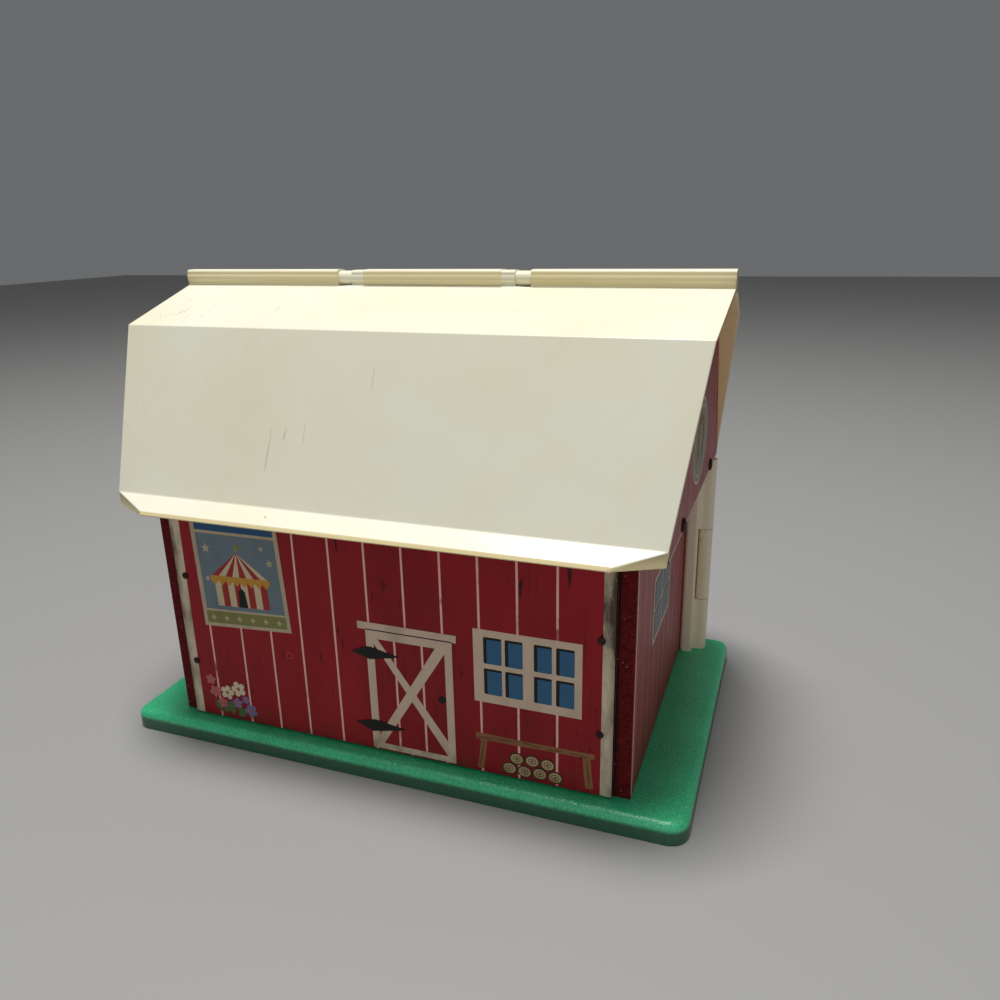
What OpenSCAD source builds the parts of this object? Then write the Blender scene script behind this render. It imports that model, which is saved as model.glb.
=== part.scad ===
// Toy barn with a gambrel roof. The long printed wall faces -Y and is closed, the far long side
// has two hinged doors, and the far half of the roof swings up about pins in the ridge.
// The origin is the bottom centre of the base, X runs along the ridge and Z is up.

/* [House] */
// Length of the house over its two end boards
house_len = 284; // [250:1:320]
// Depth of the house, from front edge to far edge of an end board
house_dep = 183; // [160:1:210]
// Thickness of the end boards and the door header
board_t = 9.5; // [8:0.5:12]
// Thickness of the hardboard panels
panel_t = 3.2; // [2.5:0.1:4]
// Gap under the long wall
panel_lift = 1.2; // [0.5:0.1:3]
// Height of the long wall's top edge over the base
long_wall_rise = 152; // [130:1:156]
// Side of the square corner cleats that the long wall is nailed to
cleat_w = 14; // [10:0.5:18]
// Height of the corner cleats
cleat_rise = 138; // [110:1:145]

/* [Base] */
// Ledge of the base beyond each end of the house
end_ledge = 30.5; // [24:0.5:40]
// Ledge of the base in front of the house and behind it
side_ledge = 13.5; // [12:0.5:24]
// Height of the base
base_h = 12.5; // [11:0.5:16]
// Radius of the base's corners, seen from above
base_corner_r = 12; // [8:0.5:20]
// Rounding along the top edge of the base
base_edge_r = 4.5; // [3:0.5:5.5]
// Side wall of the base moulding
tray_wall = 2.5; // [2:0.1:3]
// Top wall of the base moulding
tray_top = 3; // [2.5:0.1:4]

/* [Roof] */
// Height of the ridge over the base
ridge_rise = 255; // [240:1:270]
// Height of the knee, where the slope changes, over the base
knee_rise = 236; // [225:1:242]
// Height of the eave, where the lower slope ends, over the base
eave_rise = 145.5; // [141:0.5:152]
// How far the eave stands out from the house
eave_out = 12; // [9:0.5:18]
// How far the knee lies inside the eave
knee_in = 39; // [30:1:48]
// Wall of the roof mouldings
roof_t = 2.4; // [2:0.1:3]
// How far the flared lip stands out from the eave
lip_out = 11.5; // [8:0.5:15]
// Fall of the lip's top face
lip_fall = 4; // [2:0.5:6]
// Height of the lip's upright edge
lip_edge = 3; // [2:0.5:5]
// Length over which each end of the lip is cut back
lip_cut = 26; // [15:1:40]
// How far the eave reaches past each end of the house
eave_over = 15.3; // [13:0.1:24]
// How much further the ridge reaches past the house than the eave does
end_rake = 13.7; // [6:0.1:20]
// Gap between the two halves of the roof along the ridge
split_gap = 0.4; // [0.2:0.1:1]
// Gap between the roof and the boards under it
seat_gap = 0.3; // [0.2:0.05:0.5]

/* [Ridge hinge] */
// Height of the hinge axis over the ridge line
ridge_lift = 4.5; // [4.3:0.1:6]
// Height of the ridge bar's top over the hinge axis
bar_top = 5.5; // [5.2:0.1:7]
// Width of the ridge bar
bar_w = 10; // [9:0.5:12]
// Rounding of the ridge bar's top edges
bar_round = 2; // [1:0.25:3]
// Radius of the round part of the ridge bar
barrel_r = 5.5; // [5.2:0.1:6]
// Radius of the ridge pins
ridge_pin_r = 4; // [3:0.1:4.2]
// Half length of the middle bar, which belongs to the opening half
mid_bar_half = 51.4; // [40:0.1:60]
// Bare stretch of pin between the middle bar and each side bar
pin_show = 9.5; // [5:0.5:14]
// Length of each pin inside a bar
pin_seat = 20; // [12:1:30]
// Length of the lower collar at each end of the middle bar
collar_len = 8; // [4:0.5:12]
// How much lower the collars are than the bar
collar_drop = 0.4; // [0.2:0.1:0.8]
// Clearance round what turns in the ridge hinge
hinge_clear = 0.4; // [0.3:0.05:0.6]
// Radial clearance of a hinge pin in its bore
pin_clear = 0.05; // [0.03:0.01:0.08]

/* [Gables] */
// How far the gable board's face lies inside the end of the eave
gable_setback = 0.3; // [0.1:0.1:1]
// Height of the gable board's lower edge over the lip's lower edge
gable_low = 0.5; // [0.2:0.1:3]
// Gap between the gable board's edge and the roof
gable_gap = 0.5; // [0.3:0.1:1]
// Height of the battens behind a gable board
batten_h = 12; // [10:0.5:16]
// Half length of the lower batten
batten_half = 72; // [66:1:82]
// Half length of the upper batten
upper_batten_half = 30; // [20:1:40]
// Height of the upper batten over the gable board's lower edge
upper_batten_rise = 76; // [50:1:82]
// Distance of the gable screws from the middle
gable_screw_y = 57.5; // [40:0.5:64]
// Height of the gable screws over the gable board's lower edge
gable_screw_rise = 4.5; // [4:0.25:8]

/* [Doors] */
// Width of the door posts along the house
post_w = 7.4; // [6:0.2:10]
// Depth of the door posts
post_dep = 13; // [10:0.5:18]
// Radius of the door hinge's knuckles
knuckle_r = 4.5; // [4:0.1:5.5]
// Gap between a door post's body and the moving knuckle
knuckle_gap = 0.5; // [0.4:0.1:1]
// How far the hinge axis lies inside the far edge of the house
door_axis_in = 2; // [1.5:0.1:2.5]
// Height of the lower fixed knuckle
low_knuckle = 38; // [25:1:50]
// Height of the middle knuckle, which turns with the door
mid_knuckle = 52; // [35:1:65]
// Radius of the door hinge pins
door_pin_r = 1.2; // [1:0.1:1.6]
// Gap between a closed door and the house
door_gap = 0.3; // [0.2:0.1:0.8]
// Thickness of the doors' plastic stiles
stile_t = 6.4; // [5.6:0.2:8]
// Width of the stiles
stile_w = 12; // [10:0.5:16]
// Depth of the slot in a stile that holds the door leaf
slot_dep = 9; // [6:0.5:9]
// Gap between the two doors, and around a leaf in its slot
leaf_gap = 0.8; // [0.6:0.1:1.5]
// Gap under the doors
door_lift = 2; // [1:0.5:4]
// Gap between the doors and the top of the posts
door_top_gap = 4; // [3:0.5:8]
// Height of the knobs over the base
knob_rise = 68; // [40:1:100]
// Distance of a knob from its door's free edge
knob_in = 14; // [10:1:30]
// Radius of the knobs
knob_r = 5.5; // [4:0.5:8]
// Height of the header's lower edge over the base
header_rise = 115.5; // [100:0.5:125]
// Height of the header
header_h = 37; // [26:1:40]

/* [Fasteners] */
// Radius of the wall nails' heads
nail_head_r = 2.3; // [1.8:0.1:3]
// Radius of the nails' shanks
nail_r = 0.8; // [0.6:0.1:1]
// Length of the wall nails under the head
nail_len = 14; // [10:0.5:16]
// Heights of the lower wall nails over the base
nail_rise = 38; // [25:1:50]
// Distance between the lower and upper wall nails
nail_pitch = 57; // [40:1:65]
// Distance of the wall nails from the long wall's ends
nail_in = 6.5; // [5:0.5:9]
// Radius of the screws' shanks
screw_r = 1.5; // [1.2:0.1:1.8]
// Radius of the base screws' countersunk heads
sunk_head_r = 3.3; // [2.6:0.1:4]
// Radius of the gable screws' heads
screw_head_r = 3.8; // [3:0.1:4]
// Distance of the outer base screws from the middle one
base_screw_pitch = 62; // [40:1:75]
// Depth of the base screws in an end board
base_screw_grip = 20; // [14:1:28]

/* [Hidden] */
$fn = 48;

// Colours of the mouldings, boards and metal.
cream = [0.93, 0.91, 0.78];
green = [0.10, 0.42, 0.25];
barn_red = [0.45, 0.10, 0.11];
raw_board = [0.45, 0.33, 0.22];
dark_metal = [0.16, 0.13, 0.11];
steel = [0.65, 0.65, 0.66];

// A cut runs this far past the face it opens.
past = 1;
// Gap of a screw or nail in its hole.
hole_gap = 0.05;

// Base.
base_len = house_len + 2 * end_ledge;
base_dep = house_dep + 2 * side_ledge;
tray_gap = 0.3;
board_h = base_h - tray_top;
sunk_head_low = 0.4;
sunk_head_rim = 0.6;

// House.
half_len = house_len / 2;
half_dep = house_dep / 2;
inner_x = half_len - board_t;

// Roof outline of the far half: ridge, knee, eave and lip, in Y and Z.
ridge_z = base_h + ridge_rise;
knee_z = base_h + knee_rise;
eave_z = base_h + eave_rise;
eave_y = half_dep + eave_out;
knee_y = eave_y - knee_in;
lip_y = eave_y + lip_out;
lip_z = eave_z - lip_fall;
lip_low_z = lip_z - lip_edge;
upper_slope = (ridge_z - knee_z) / knee_y;
lower_slope = (knee_z - eave_z) / knee_in;
lip_slope = lip_fall / lip_out;
upper_angle = atan(upper_slope);
lower_angle = atan(lower_slope);

// Lines parallel to the outside of the roof, a depth d under it.
function ridge_at(d) = ridge_z - d / cos(upper_angle);
function upper_at(d, y) = ridge_at(d) - upper_slope * y;
function lower_y(d, z) = eave_y - (z - eave_z) / lower_slope - d / sin(lower_angle);
function knee_at(d) =
    let (y0 = lower_y(d, eave_z), k = upper_slope / lower_slope,
         z = (ridge_at(d) - upper_slope * y0 - k * eave_z) / (1 - k))
    [lower_y(d, z), z];
function lip_at(d, y) = eave_z - d / cos(atan(lip_slope)) - lip_slope * (y - eave_y);
function eave_at(d) =
    let (y0 = lower_y(d, eave_z), z0 = lip_at(d, y0), k = lip_slope / lower_slope,
         z = (z0 - k * eave_z) / (1 - k))
    [lower_y(d, z), z];

// Ends of the roof: a raked plane, and the lip cut back in plan.
eave_half = half_len + eave_over;
rake = end_rake / (ridge_z - eave_z);
function end_half(z) = eave_half + rake * (z - eave_z);
cut_len = norm([lip_cut, lip_out]);
cut_step_x = roof_t * cut_len / lip_out;
cut_step_y = roof_t * cut_len / lip_cut;
reach = eave_half + end_rake + 20;

// Ridge hinge.
axis_z = ridge_z + ridge_lift;
bar_half_w = bar_w / 2;
relief_r = norm([bar_half_w - bar_round, bar_top - bar_round]) + bar_round + hinge_clear;
side_bar_start = mid_bar_half + pin_show;

// Gable boards.
gable_x = eave_half - gable_setback;
gable_z = lip_low_z + gable_low;
gable_half = lower_y(roof_t + gable_gap, eave_z);
gable_screw_z = gable_z + gable_screw_rise;
batten_t = gable_x - panel_t - half_len;
batten_drop = 1;
gable_screw_grip = 8;
screw_head_h = 1.8;
nail_head_h = 1.1;
head_rim = 0.3;

// Lugs inside the front half of the roof, screwed to the end boards.
lug_t = 3;
lug_gap = 0.2;
lug_w = 16;
low_lug_rise = 32;
up_lug_in = 28;
lug_screw_in = 8.5;
low_lug_z = eave_z + low_lug_rise;
low_lug_y = lower_y(roof_t, low_lug_z) - lug_screw_in;
up_lug_y = knee_y - up_lug_in;
up_lug_z = upper_at(roof_t, up_lug_y) - lug_screw_in;
lug_screw_grip = 6.5;
small_head_r = 3;
lugs = [[low_lug_y, low_lug_z], [up_lug_y, up_lug_z]];

// Doors.
post_top_gap = 0.5;
post_top = gable_z - post_top_gap;
door_axis_x = half_len + post_w + knuckle_gap + knuckle_r;
door_axis_y = half_dep - door_axis_in;
knuckle_z1 = base_h + low_knuckle;
knuckle_z2 = knuckle_z1 + mid_knuckle;
knuckle_end_gap = 0.4;
door_z1 = base_h + door_lift;
door_z2 = post_top - door_top_gap;
stile_y = half_dep + door_gap;
stile_x2 = half_len + post_w;
stile_x1 = stile_x2 - stile_w;
leaf_y = stile_y + (stile_t - panel_t) / 2;
slot_play = 0.05;
leaf_x1 = leaf_gap / 2;
leaf_x2 = stile_x1 + slot_dep - leaf_gap / 2;
arm_t = 3.5;
door_nail_x = stile_x1 + slot_dep / 2;
door_nail_in = 20;
door_nail_z = [door_z1 + door_nail_in, (door_z1 + door_z2) / 2, door_z2 - door_nail_in];
pin_floor = 3;
pin_sink = 2;
door_pin_z1 = base_h + pin_floor;
door_pin_z2 = post_top - pin_sink;
low_post_screw = 20;
post_screw_drop = 14;
post_screw_z = [base_h + low_post_screw, base_h + header_rise - post_screw_drop];
post_screw_y = half_dep - post_dep / 2;
post_screw_grip = 5;
knob_stem_r = 2.8;
knob_stem_h = 3.8;
knob_cut = 2.2;

module rounded_plan(l, w, r) {
    square([l - 2 * r, w], center = true);
    square([l, w - 2 * r], center = true);
    for (x = [-1, 1], y = [-1, 1])
        translate([x * (l / 2 - r), y * (w / 2 - r)]) circle(r = r);
}

// Slab with round corners and a rounded top edge.
module soft_slab(l, w, h, r, e) {
    linear_extrude(h - e) rounded_plan(l, w, r);
    linear_extrude(h) rounded_plan(l - 2 * e, w - 2 * e, r - e);
    for (s = [-1, 1]) {
        translate([0, s * (w / 2 - e), h - e]) rotate([0, 90, 0])
            cylinder(h = l - 2 * r, r = e, center = true);
        translate([s * (l / 2 - e), 0, h - e]) rotate([90, 0, 0])
            cylinder(h = w - 2 * r, r = e, center = true);
    }
    for (x = [-1, 1], y = [-1, 1])
        translate([x * (l / 2 - r), y * (w / 2 - r), h - e])
            rotate_extrude() translate([r - e, 0]) intersection() {
                circle(r = e);
                translate([e - r, -e]) square([r, 2 * e]);
            }
}

// Extrusion along X of an outline given in Y and Z.
module along_x(l) {
    rotate([90, 0, 90]) linear_extrude(l, center = true) children();
}

// Cylinder along X from x1 to x2, at y and z.
module rod_x(x1, x2, y, z, r) {
    translate([x1, y, z]) rotate([0, 90, 0]) cylinder(h = x2 - x1, r = r);
}

// Round head with a short upright rim, its underside at the origin and its dome along +Z.
module round_head(r, h) {
    rise = h - head_rim;
    dome_r = (r * r + rise * rise) / (2 * rise);
    rotate_extrude() intersection() {
        translate([0, h - dome_r]) circle(r = dome_r);
        square([r, h]);
    }
}

// Countersunk screw that points up, or its hole; low is where its head starts.
module base_screw(play, low) {
    head_r = sunk_head_r + play;
    shank_r = screw_r + play;
    head_z = sunk_head_low + sunk_head_rim;
    tip_z = base_h + base_screw_grip + play;
    rotate_extrude() polygon([[0, low], [head_r, low], [head_r, head_z],
                              [shank_r, head_z + head_r - shank_r], [shank_r, tip_z], [0, tip_z]]);
}

module at_base_screws() {
    for (x = [-1, 1], y = [-1, 0, 1])
        translate([x * (half_len - board_t / 2), y * base_screw_pitch, 0]) children();
}

module base_tray() {
    color(green) difference() {
        soft_slab(base_len, base_dep, base_h, base_corner_r, base_edge_r);
        translate([0, 0, -past]) linear_extrude(board_h + past)
            rounded_plan(base_len - 2 * tray_wall, base_dep - 2 * tray_wall,
                         base_corner_r - tray_wall);
        at_base_screws() cylinder(h = base_h + past, r = screw_r + hole_gap);
    }
}

module base_board() {
    color(raw_board) difference() {
        linear_extrude(board_h)
            rounded_plan(base_len - 2 * (tray_wall + tray_gap),
                         base_dep - 2 * (tray_wall + tray_gap),
                         base_corner_r - tray_wall - tray_gap);
        at_base_screws() base_screw(hole_gap, -past);
    }
}

module base_screws() {
    color(steel) at_base_screws() base_screw(0, sunk_head_low);
}

// Wall nail, with its head's underside at the origin and its shank along +Y.
module wall_nail(play) {
    rotate([-90, 0, 0]) cylinder(h = nail_len + play, r = nail_r + play);
}

module at_wall_nails() {
    for (x = [-1, 1], k = [0, 1])
        translate([x * (inner_x - nail_in), -half_dep - panel_t, base_h + nail_rise + k * nail_pitch])
            children();
}

module long_wall() {
    color(barn_red) difference() {
        translate([-inner_x, -half_dep - panel_t, base_h + panel_lift])
            cube([2 * inner_x, panel_t, long_wall_rise - panel_lift]);
        at_wall_nails() translate([0, -past, 0]) wall_nail(hole_gap);
    }
}

module wall_nails() {
    color(dark_metal) at_wall_nails() {
        wall_nail(0);
        rotate([90, 0, 0]) round_head(nail_head_r, nail_head_h);
    }
}

module corner_cleat() {
    color(raw_board) difference() {
        translate([inner_x - cleat_w, -half_dep, base_h]) cube([cleat_w, cleat_w, cleat_rise]);
        at_wall_nails() wall_nail(hole_gap);
    }
}

// Shape of an end board: upright sides, then the underside of the roof.
function house_outline(d) = [
    [-half_dep, base_h], [half_dep, base_h],
    [half_dep, eave_z + (lower_y(d, eave_z) - half_dep) * lower_slope],
    knee_at(d), [0, ridge_at(d)], [-knee_at(d)[0], knee_at(d)[1]],
    [-half_dep, eave_z + (lower_y(d, eave_z) - half_dep) * lower_slope]];

module at_lug_screws() {
    for (p = lugs) translate([inner_x, -p[0], p[1]]) children();
}

module at_post_screws() {
    for (z = post_screw_z) translate([inner_x, post_screw_y, z]) children();
}

module end_wall() {
    color(barn_red) difference() {
        translate([half_len - board_t / 2, 0, 0]) along_x(board_t)
            polygon(house_outline(roof_t + seat_gap));
        at_base_screws() base_screw(hole_gap, -past);
        at_lug_screws() rod_x(-past, lug_screw_grip + hole_gap, 0, 0, screw_r + hole_gap);
        at_post_screws() rod_x(-past, board_t + past, 0, 0, screw_r + hole_gap);
        for (s = [-1, 1])
            rod_x(half_len - gable_screw_grip - hole_gap, half_len + past,
                  s * gable_screw_y, gable_screw_z, screw_r + hole_gap);
        rod_x(half_len - board_t - past, half_len + past, 0, axis_z, relief_r);
    }
}

module door_header() {
    color(barn_red) translate([-inner_x, half_dep - board_t, base_h + header_rise])
        cube([2 * inner_x, board_t, header_h]);
}

module gable_board() {
    inner_edge = roof_t + gable_gap;
    far = concat([[gable_half, gable_z], [gable_half, eave_z], knee_at(inner_edge)],
                 [[0, ridge_at(inner_edge)]]);
    near = [for (i = [2, 1, 0]) [-far[i][0], far[i][1]]];
    color(barn_red) difference() {
        translate([gable_x - panel_t / 2, 0, 0]) along_x(panel_t) polygon(concat(far, near));
        for (s = [-1, 1])
            rod_x(gable_x - panel_t - past, gable_x + past, s * gable_screw_y, gable_screw_z,
                  screw_r + hole_gap);
        rod_x(gable_x - panel_t - past, gable_x + past, 0, axis_z, relief_r);
    }
}

module gable_battens() {
    color(raw_board) difference() {
        union() {
            translate([half_len, -batten_half, gable_z + batten_drop])
                cube([batten_t, 2 * batten_half, batten_h]);
            translate([half_len, -upper_batten_half, gable_z + upper_batten_rise])
                cube([batten_t, 2 * upper_batten_half, batten_h]);
        }
        for (s = [-1, 1])
            rod_x(half_len - past, gable_x, s * gable_screw_y, gable_screw_z, screw_r + hole_gap);
    }
}

module gable_screws() {
    color(dark_metal) for (side = [0, 1], s = [-1, 1]) mirror([side, 0, 0]) {
        rod_x(half_len - gable_screw_grip, gable_x, s * gable_screw_y, gable_screw_z, screw_r);
        translate([gable_x, s * gable_screw_y, gable_screw_z]) rotate([0, 90, 0])
            round_head(screw_head_r, screw_head_h);
    }
}

// Outer and inner outline of the far half of the roof.
outer_roof = [[split_gap / 2, upper_at(0, split_gap / 2)], [knee_y, knee_z], [eave_y, eave_z],
              [lip_y, lip_z], [lip_y, lip_low_z], [split_gap / 2, lip_low_z]];
inner_roof = [[-past, upper_at(roof_t, -past)], knee_at(roof_t), eave_at(roof_t),
              [lip_y - roof_t, lip_at(roof_t, lip_y - roof_t)],
              [lip_y - roof_t, lip_low_z - past], [-past, lip_low_z - past]];

// Plan of the roof half with the ends of its lip cut back; step moves the cut inwards.
module roof_plan(step_x, step_y) {
    polygon([[-reach, -reach], [reach, -reach], [reach, eave_y - step_y],
             [eave_half, eave_y - step_y], [eave_half - lip_cut - step_x, lip_y],
             [lip_cut + step_x - eave_half, lip_y], [-eave_half, eave_y - step_y],
             [-reach, eave_y - step_y]]);
}

module raked_ends() {
    low = lip_low_z - past;
    high = axis_z + bar_top + past;
    rotate([90, 0, 0]) linear_extrude(2 * reach, center = true)
        polygon([[-end_half(low), low], [end_half(low), low],
                 [end_half(high), high], [-end_half(high), high]]);
}

module roof_half_solid() {
    intersection() {
        along_x(2 * reach) polygon(outer_roof);
        linear_extrude(axis_z + 2 * bar_top) roof_plan(0, 0);
    }
}

module roof_half() {
    difference() {
        roof_half_solid();
        intersection() {
            along_x(2 * reach) polygon(inner_roof);
            translate([0, 0, -past]) linear_extrude(axis_z + 2 * bar_top)
                roof_plan(cut_step_x, cut_step_y);
        }
    }
}

// Cross-section of the ridge bar, round the hinge axis.
module bar_section(drop) {
    top = bar_top - drop;
    half_w = bar_half_w - drop;
    circle(r = barrel_r - drop);
    translate([-half_w, 0]) square([2 * half_w, top - bar_round]);
    translate([bar_round - half_w, 0]) square([2 * (half_w - bar_round), top]);
    for (s = [-1, 1])
        translate([s * (half_w - bar_round), top - bar_round]) circle(r = bar_round);
}

// Web from a bar down into the far half of the roof, round the hinge axis.
module bar_web(drop) {
    half_w = bar_half_w - drop;
    polygon([[split_gap / 2, 0], [half_w, 0],
             [half_w, -ridge_lift - upper_slope * half_w - roof_t / 2],
             [split_gap / 2, -ridge_lift - roof_t / 2]]);
}

// Ridge bar from x1 to x2, with its web towards +Y.
module ridge_bar(x1, x2, drop) {
    translate([(x1 + x2) / 2, 0, axis_z]) along_x(x2 - x1) {
        bar_section(drop);
        bar_web(drop);
    }
}

module ridge_pin_bores() {
    for (s = [0, 1]) mirror([s, 0, 0])
        rod_x(mid_bar_half - pin_seat, side_bar_start + pin_seat, 0, axis_z, ridge_pin_r + pin_clear);
}

module roof_front() {
    color(cream) mirror([0, 1, 0]) difference() {
        intersection() {
            union() {
                difference() {
                    roof_half();
                    rod_x(-mid_bar_half - hinge_clear, mid_bar_half + hinge_clear, 0, axis_z, relief_r);
                }
                for (s = [0, 1]) mirror([s, 0, 0]) {
                    ridge_bar(side_bar_start, reach, 0);
                    intersection() {
                        roof_half_solid();
                        for (p = lugs)
                            translate([inner_x - lug_gap - lug_t, p[0] - lug_w / 2, p[1] - lug_w / 2])
                                cube([lug_t, 2 * lug_w, 2 * lug_w]);
                    }
                }
            }
            raked_ends();
        }
        ridge_pin_bores();
        for (s = [0, 1], p = lugs) mirror([s, 0, 0])
            rod_x(inner_x - lug_t - lug_gap - past, inner_x, p[0], p[1], screw_r + hole_gap);
    }
}

module roof_screws() {
    head_x = inner_x - lug_gap - lug_t;
    color(steel) for (s = [0, 1], p = lugs) mirror([s, 0, 0]) {
        rod_x(head_x, inner_x + lug_screw_grip, -p[0], p[1], screw_r);
        rod_x(head_x - screw_head_h, head_x, -p[0], p[1], small_head_r);
    }
}

module roof_lid() {
    color(cream) difference() {
        intersection() {
            union() {
                difference() {
                    roof_half();
                    for (s = [0, 1]) mirror([s, 0, 0])
                        rod_x(side_bar_start - hinge_clear, reach + past, 0, axis_z, relief_r);
                }
                ridge_bar(collar_len - mid_bar_half, mid_bar_half - collar_len, 0);
                ridge_bar(-mid_bar_half, mid_bar_half, collar_drop);
            }
            raked_ends();
        }
        ridge_pin_bores();
    }
}

module ridge_pin() {
    color(cream) rod_x(mid_bar_half - pin_seat + hinge_clear, side_bar_start + pin_seat - hinge_clear,
                       0, axis_z, ridge_pin_r);
}

// Fixed post with the lower and upper knuckle of the door hinge.
module door_post() {
    color(cream) difference() {
        union() {
            translate([half_len, half_dep - post_dep, base_h])
                cube([post_w, post_dep, post_top - base_h]);
            for (z = [[base_h, knuckle_z1], [knuckle_z2, post_top]])
                translate([door_axis_x, door_axis_y, z[0]]) linear_extrude(z[1] - z[0]) {
                    circle(r = knuckle_r);
                    translate([-knuckle_r - knuckle_gap - past, -knuckle_r])
                        square([knuckle_r + knuckle_gap + past, knuckle_r + door_axis_in]);
                }
        }
        translate([door_axis_x, door_axis_y, door_pin_z1])
            cylinder(h = post_top - door_pin_z1 + past, r = door_pin_r + pin_clear);
        at_post_screws() rod_x(0, board_t + post_screw_grip + hole_gap, 0, 0, screw_r + hole_gap);
    }
}

module post_screws() {
    color(steel) for (s = [0, 1]) mirror([s, 0, 0]) at_post_screws() {
        rod_x(0, board_t + post_screw_grip, 0, 0, screw_r);
        rod_x(-screw_head_h, 0, 0, 0, small_head_r);
    }
}

module hinge_pin() {
    color(steel) translate([door_axis_x, door_axis_y, door_pin_z1 + hole_gap])
        cylinder(h = door_pin_z2 - door_pin_z1, r = door_pin_r);
}

// Nail through the stile and the door leaf, along Y.
module door_nail(play) {
    for (z = door_nail_z) translate([door_nail_x, stile_y - play, z]) rotate([-90, 0, 0])
        cylinder(h = stile_t + 2 * play, r = nail_r + play);
}

module door_leaf() {
    color(barn_red) difference() {
        translate([leaf_x1, leaf_y, door_z1])
            cube([leaf_x2 - leaf_x1, panel_t, door_z2 - door_z1]);
        door_nail(hole_gap);
        translate([leaf_x1 + knob_in, leaf_y - past, base_h + knob_rise]) rotate([-90, 0, 0])
            cylinder(h = panel_t + 2 * past, r = screw_r + hole_gap);
    }
}

// Plastic stile along the hinge edge of a door, with the middle knuckle of the hinge.
module door_stile() {
    color(cream) difference() {
        union() {
            translate([stile_x1, stile_y, door_z1]) cube([stile_w, stile_t, door_z2 - door_z1]);
            translate([door_axis_x, door_axis_y, knuckle_z1 + knuckle_end_gap])
                linear_extrude(mid_knuckle - 2 * knuckle_end_gap) {
                    circle(r = knuckle_r);
                    translate([0, stile_y - door_axis_y]) circle(r = arm_t);
                    translate([stile_x2 - past - door_axis_x, stile_y - door_axis_y])
                        square([door_axis_x - stile_x2 + past, arm_t]);
                }
        }
        translate([stile_x1 - past, leaf_y - slot_play, door_z1 - past])
            cube([slot_dep + past, panel_t + 2 * slot_play, door_z2 - door_z1 + 2 * past]);
        door_nail(hole_gap);
        translate([door_axis_x, door_axis_y, knuckle_z1])
            cylinder(h = mid_knuckle, r = door_pin_r + pin_clear);
    }
}

module door_nails() {
    color(steel) door_nail(0);
}

// Turned knob on the outside of a door, its shank through the leaf.
module door_knob() {
    color(cream) translate([leaf_x1 + knob_in, leaf_y, base_h + knob_rise]) rotate([-90, 0, 0]) {
        cylinder(h = panel_t + past, r = screw_r);
        translate([0, 0, panel_t]) cylinder(h = knob_stem_h + past, r = knob_stem_r);
        translate([0, 0, panel_t + knob_stem_h]) rotate_extrude() intersection() {
            translate([0, knob_r]) circle(r = knob_r);
            square([knob_r, 2 * knob_r - knob_cut]);
        }
    }
}

module left() {
    mirror([1, 0, 0]) children();
}

base_tray();
base_board();
base_screws();
long_wall();
wall_nails();
left() end_wall();  // left_end_wall
end_wall();  // right_end_wall
left() corner_cleat();  // left_corner_cleat
corner_cleat();  // right_corner_cleat
door_header();
left() gable_board();  // left_gable_board
gable_board();  // right_gable_board
left() gable_battens();  // left_gable_battens
gable_battens();  // right_gable_battens
gable_screws();
roof_front();
roof_screws();
roof_lid();
left() ridge_pin();  // left_ridge_pin
ridge_pin();  // right_ridge_pin
left() door_post();  // left_door_post
door_post();  // right_door_post
post_screws();
left() hinge_pin();  // left_hinge_pin
hinge_pin();  // right_hinge_pin
left() door_leaf();  // left_door_leaf
door_leaf();  // right_door_leaf
left() door_stile();  // left_door_stile
door_stile();  // right_door_stile
left() door_nails();  // left_door_nails
door_nails();  // right_door_nails
left() door_knob();  // left_door_knob
door_knob();  // right_door_knob
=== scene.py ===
"""Finish of a toy barn: its mouldings, printed boards, painted pictures and metal parts.

The barn's own frame has X along the ridge, the long printed wall towards -Y, the doors towards +Y
and Z up. Lengths in the tables below are millimetres, as a maker's drawing has them.
"""

import math

import bmesh
import bpy
from mathutils import Matrix, Vector


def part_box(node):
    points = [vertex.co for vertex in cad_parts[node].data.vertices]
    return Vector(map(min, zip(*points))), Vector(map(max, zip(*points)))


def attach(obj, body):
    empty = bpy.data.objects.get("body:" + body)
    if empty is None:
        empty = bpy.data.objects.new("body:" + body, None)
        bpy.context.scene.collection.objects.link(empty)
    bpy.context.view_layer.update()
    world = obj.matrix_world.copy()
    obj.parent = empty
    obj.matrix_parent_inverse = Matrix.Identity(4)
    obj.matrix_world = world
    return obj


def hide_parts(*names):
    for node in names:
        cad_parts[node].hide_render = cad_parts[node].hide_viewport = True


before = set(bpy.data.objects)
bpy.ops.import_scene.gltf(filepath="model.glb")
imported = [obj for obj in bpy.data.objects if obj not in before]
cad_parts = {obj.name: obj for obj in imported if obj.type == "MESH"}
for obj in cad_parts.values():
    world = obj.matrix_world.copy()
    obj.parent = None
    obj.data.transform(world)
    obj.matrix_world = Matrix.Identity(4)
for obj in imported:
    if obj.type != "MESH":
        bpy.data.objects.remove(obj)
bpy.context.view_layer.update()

bl_info = {
    "name": "Toy barn",
    "version": (1, 0, 0),
    "blender": (4, 5, 0),
    "location": "View3D > Sidebar > Toy barn",
    "description": "Dresses the solids of a toy barn with their finish and their printed pictures",
    "category": "Object",
}

MM = 0.001
UP = Vector((0, 0, 1))
X, Y, Z = range(3)
SIDES = (("left", -1), ("right", 1))


def srgb(red, green, blue):
    """Linear colour of a paint that is given as it looks on a screen, from 0 to 255."""
    return tuple(c / 255 / 12.92 if c < 10.3 else ((c / 255 + 0.055) / 1.055) ** 2.4
                 for c in (red, green, blue))


def darker(colour, share):
    return tuple(share * c for c in colour)


def within(value, low, high):
    """True where a length in metres lies between two lengths in millimetres."""
    return low * MM < value < high * MM


def colour_prop(name, description, default):
    return bpy.props.FloatVectorProperty(name=name, description=description, subtype="COLOR",
                                         size=3, min=0, max=1, default=default)


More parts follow.
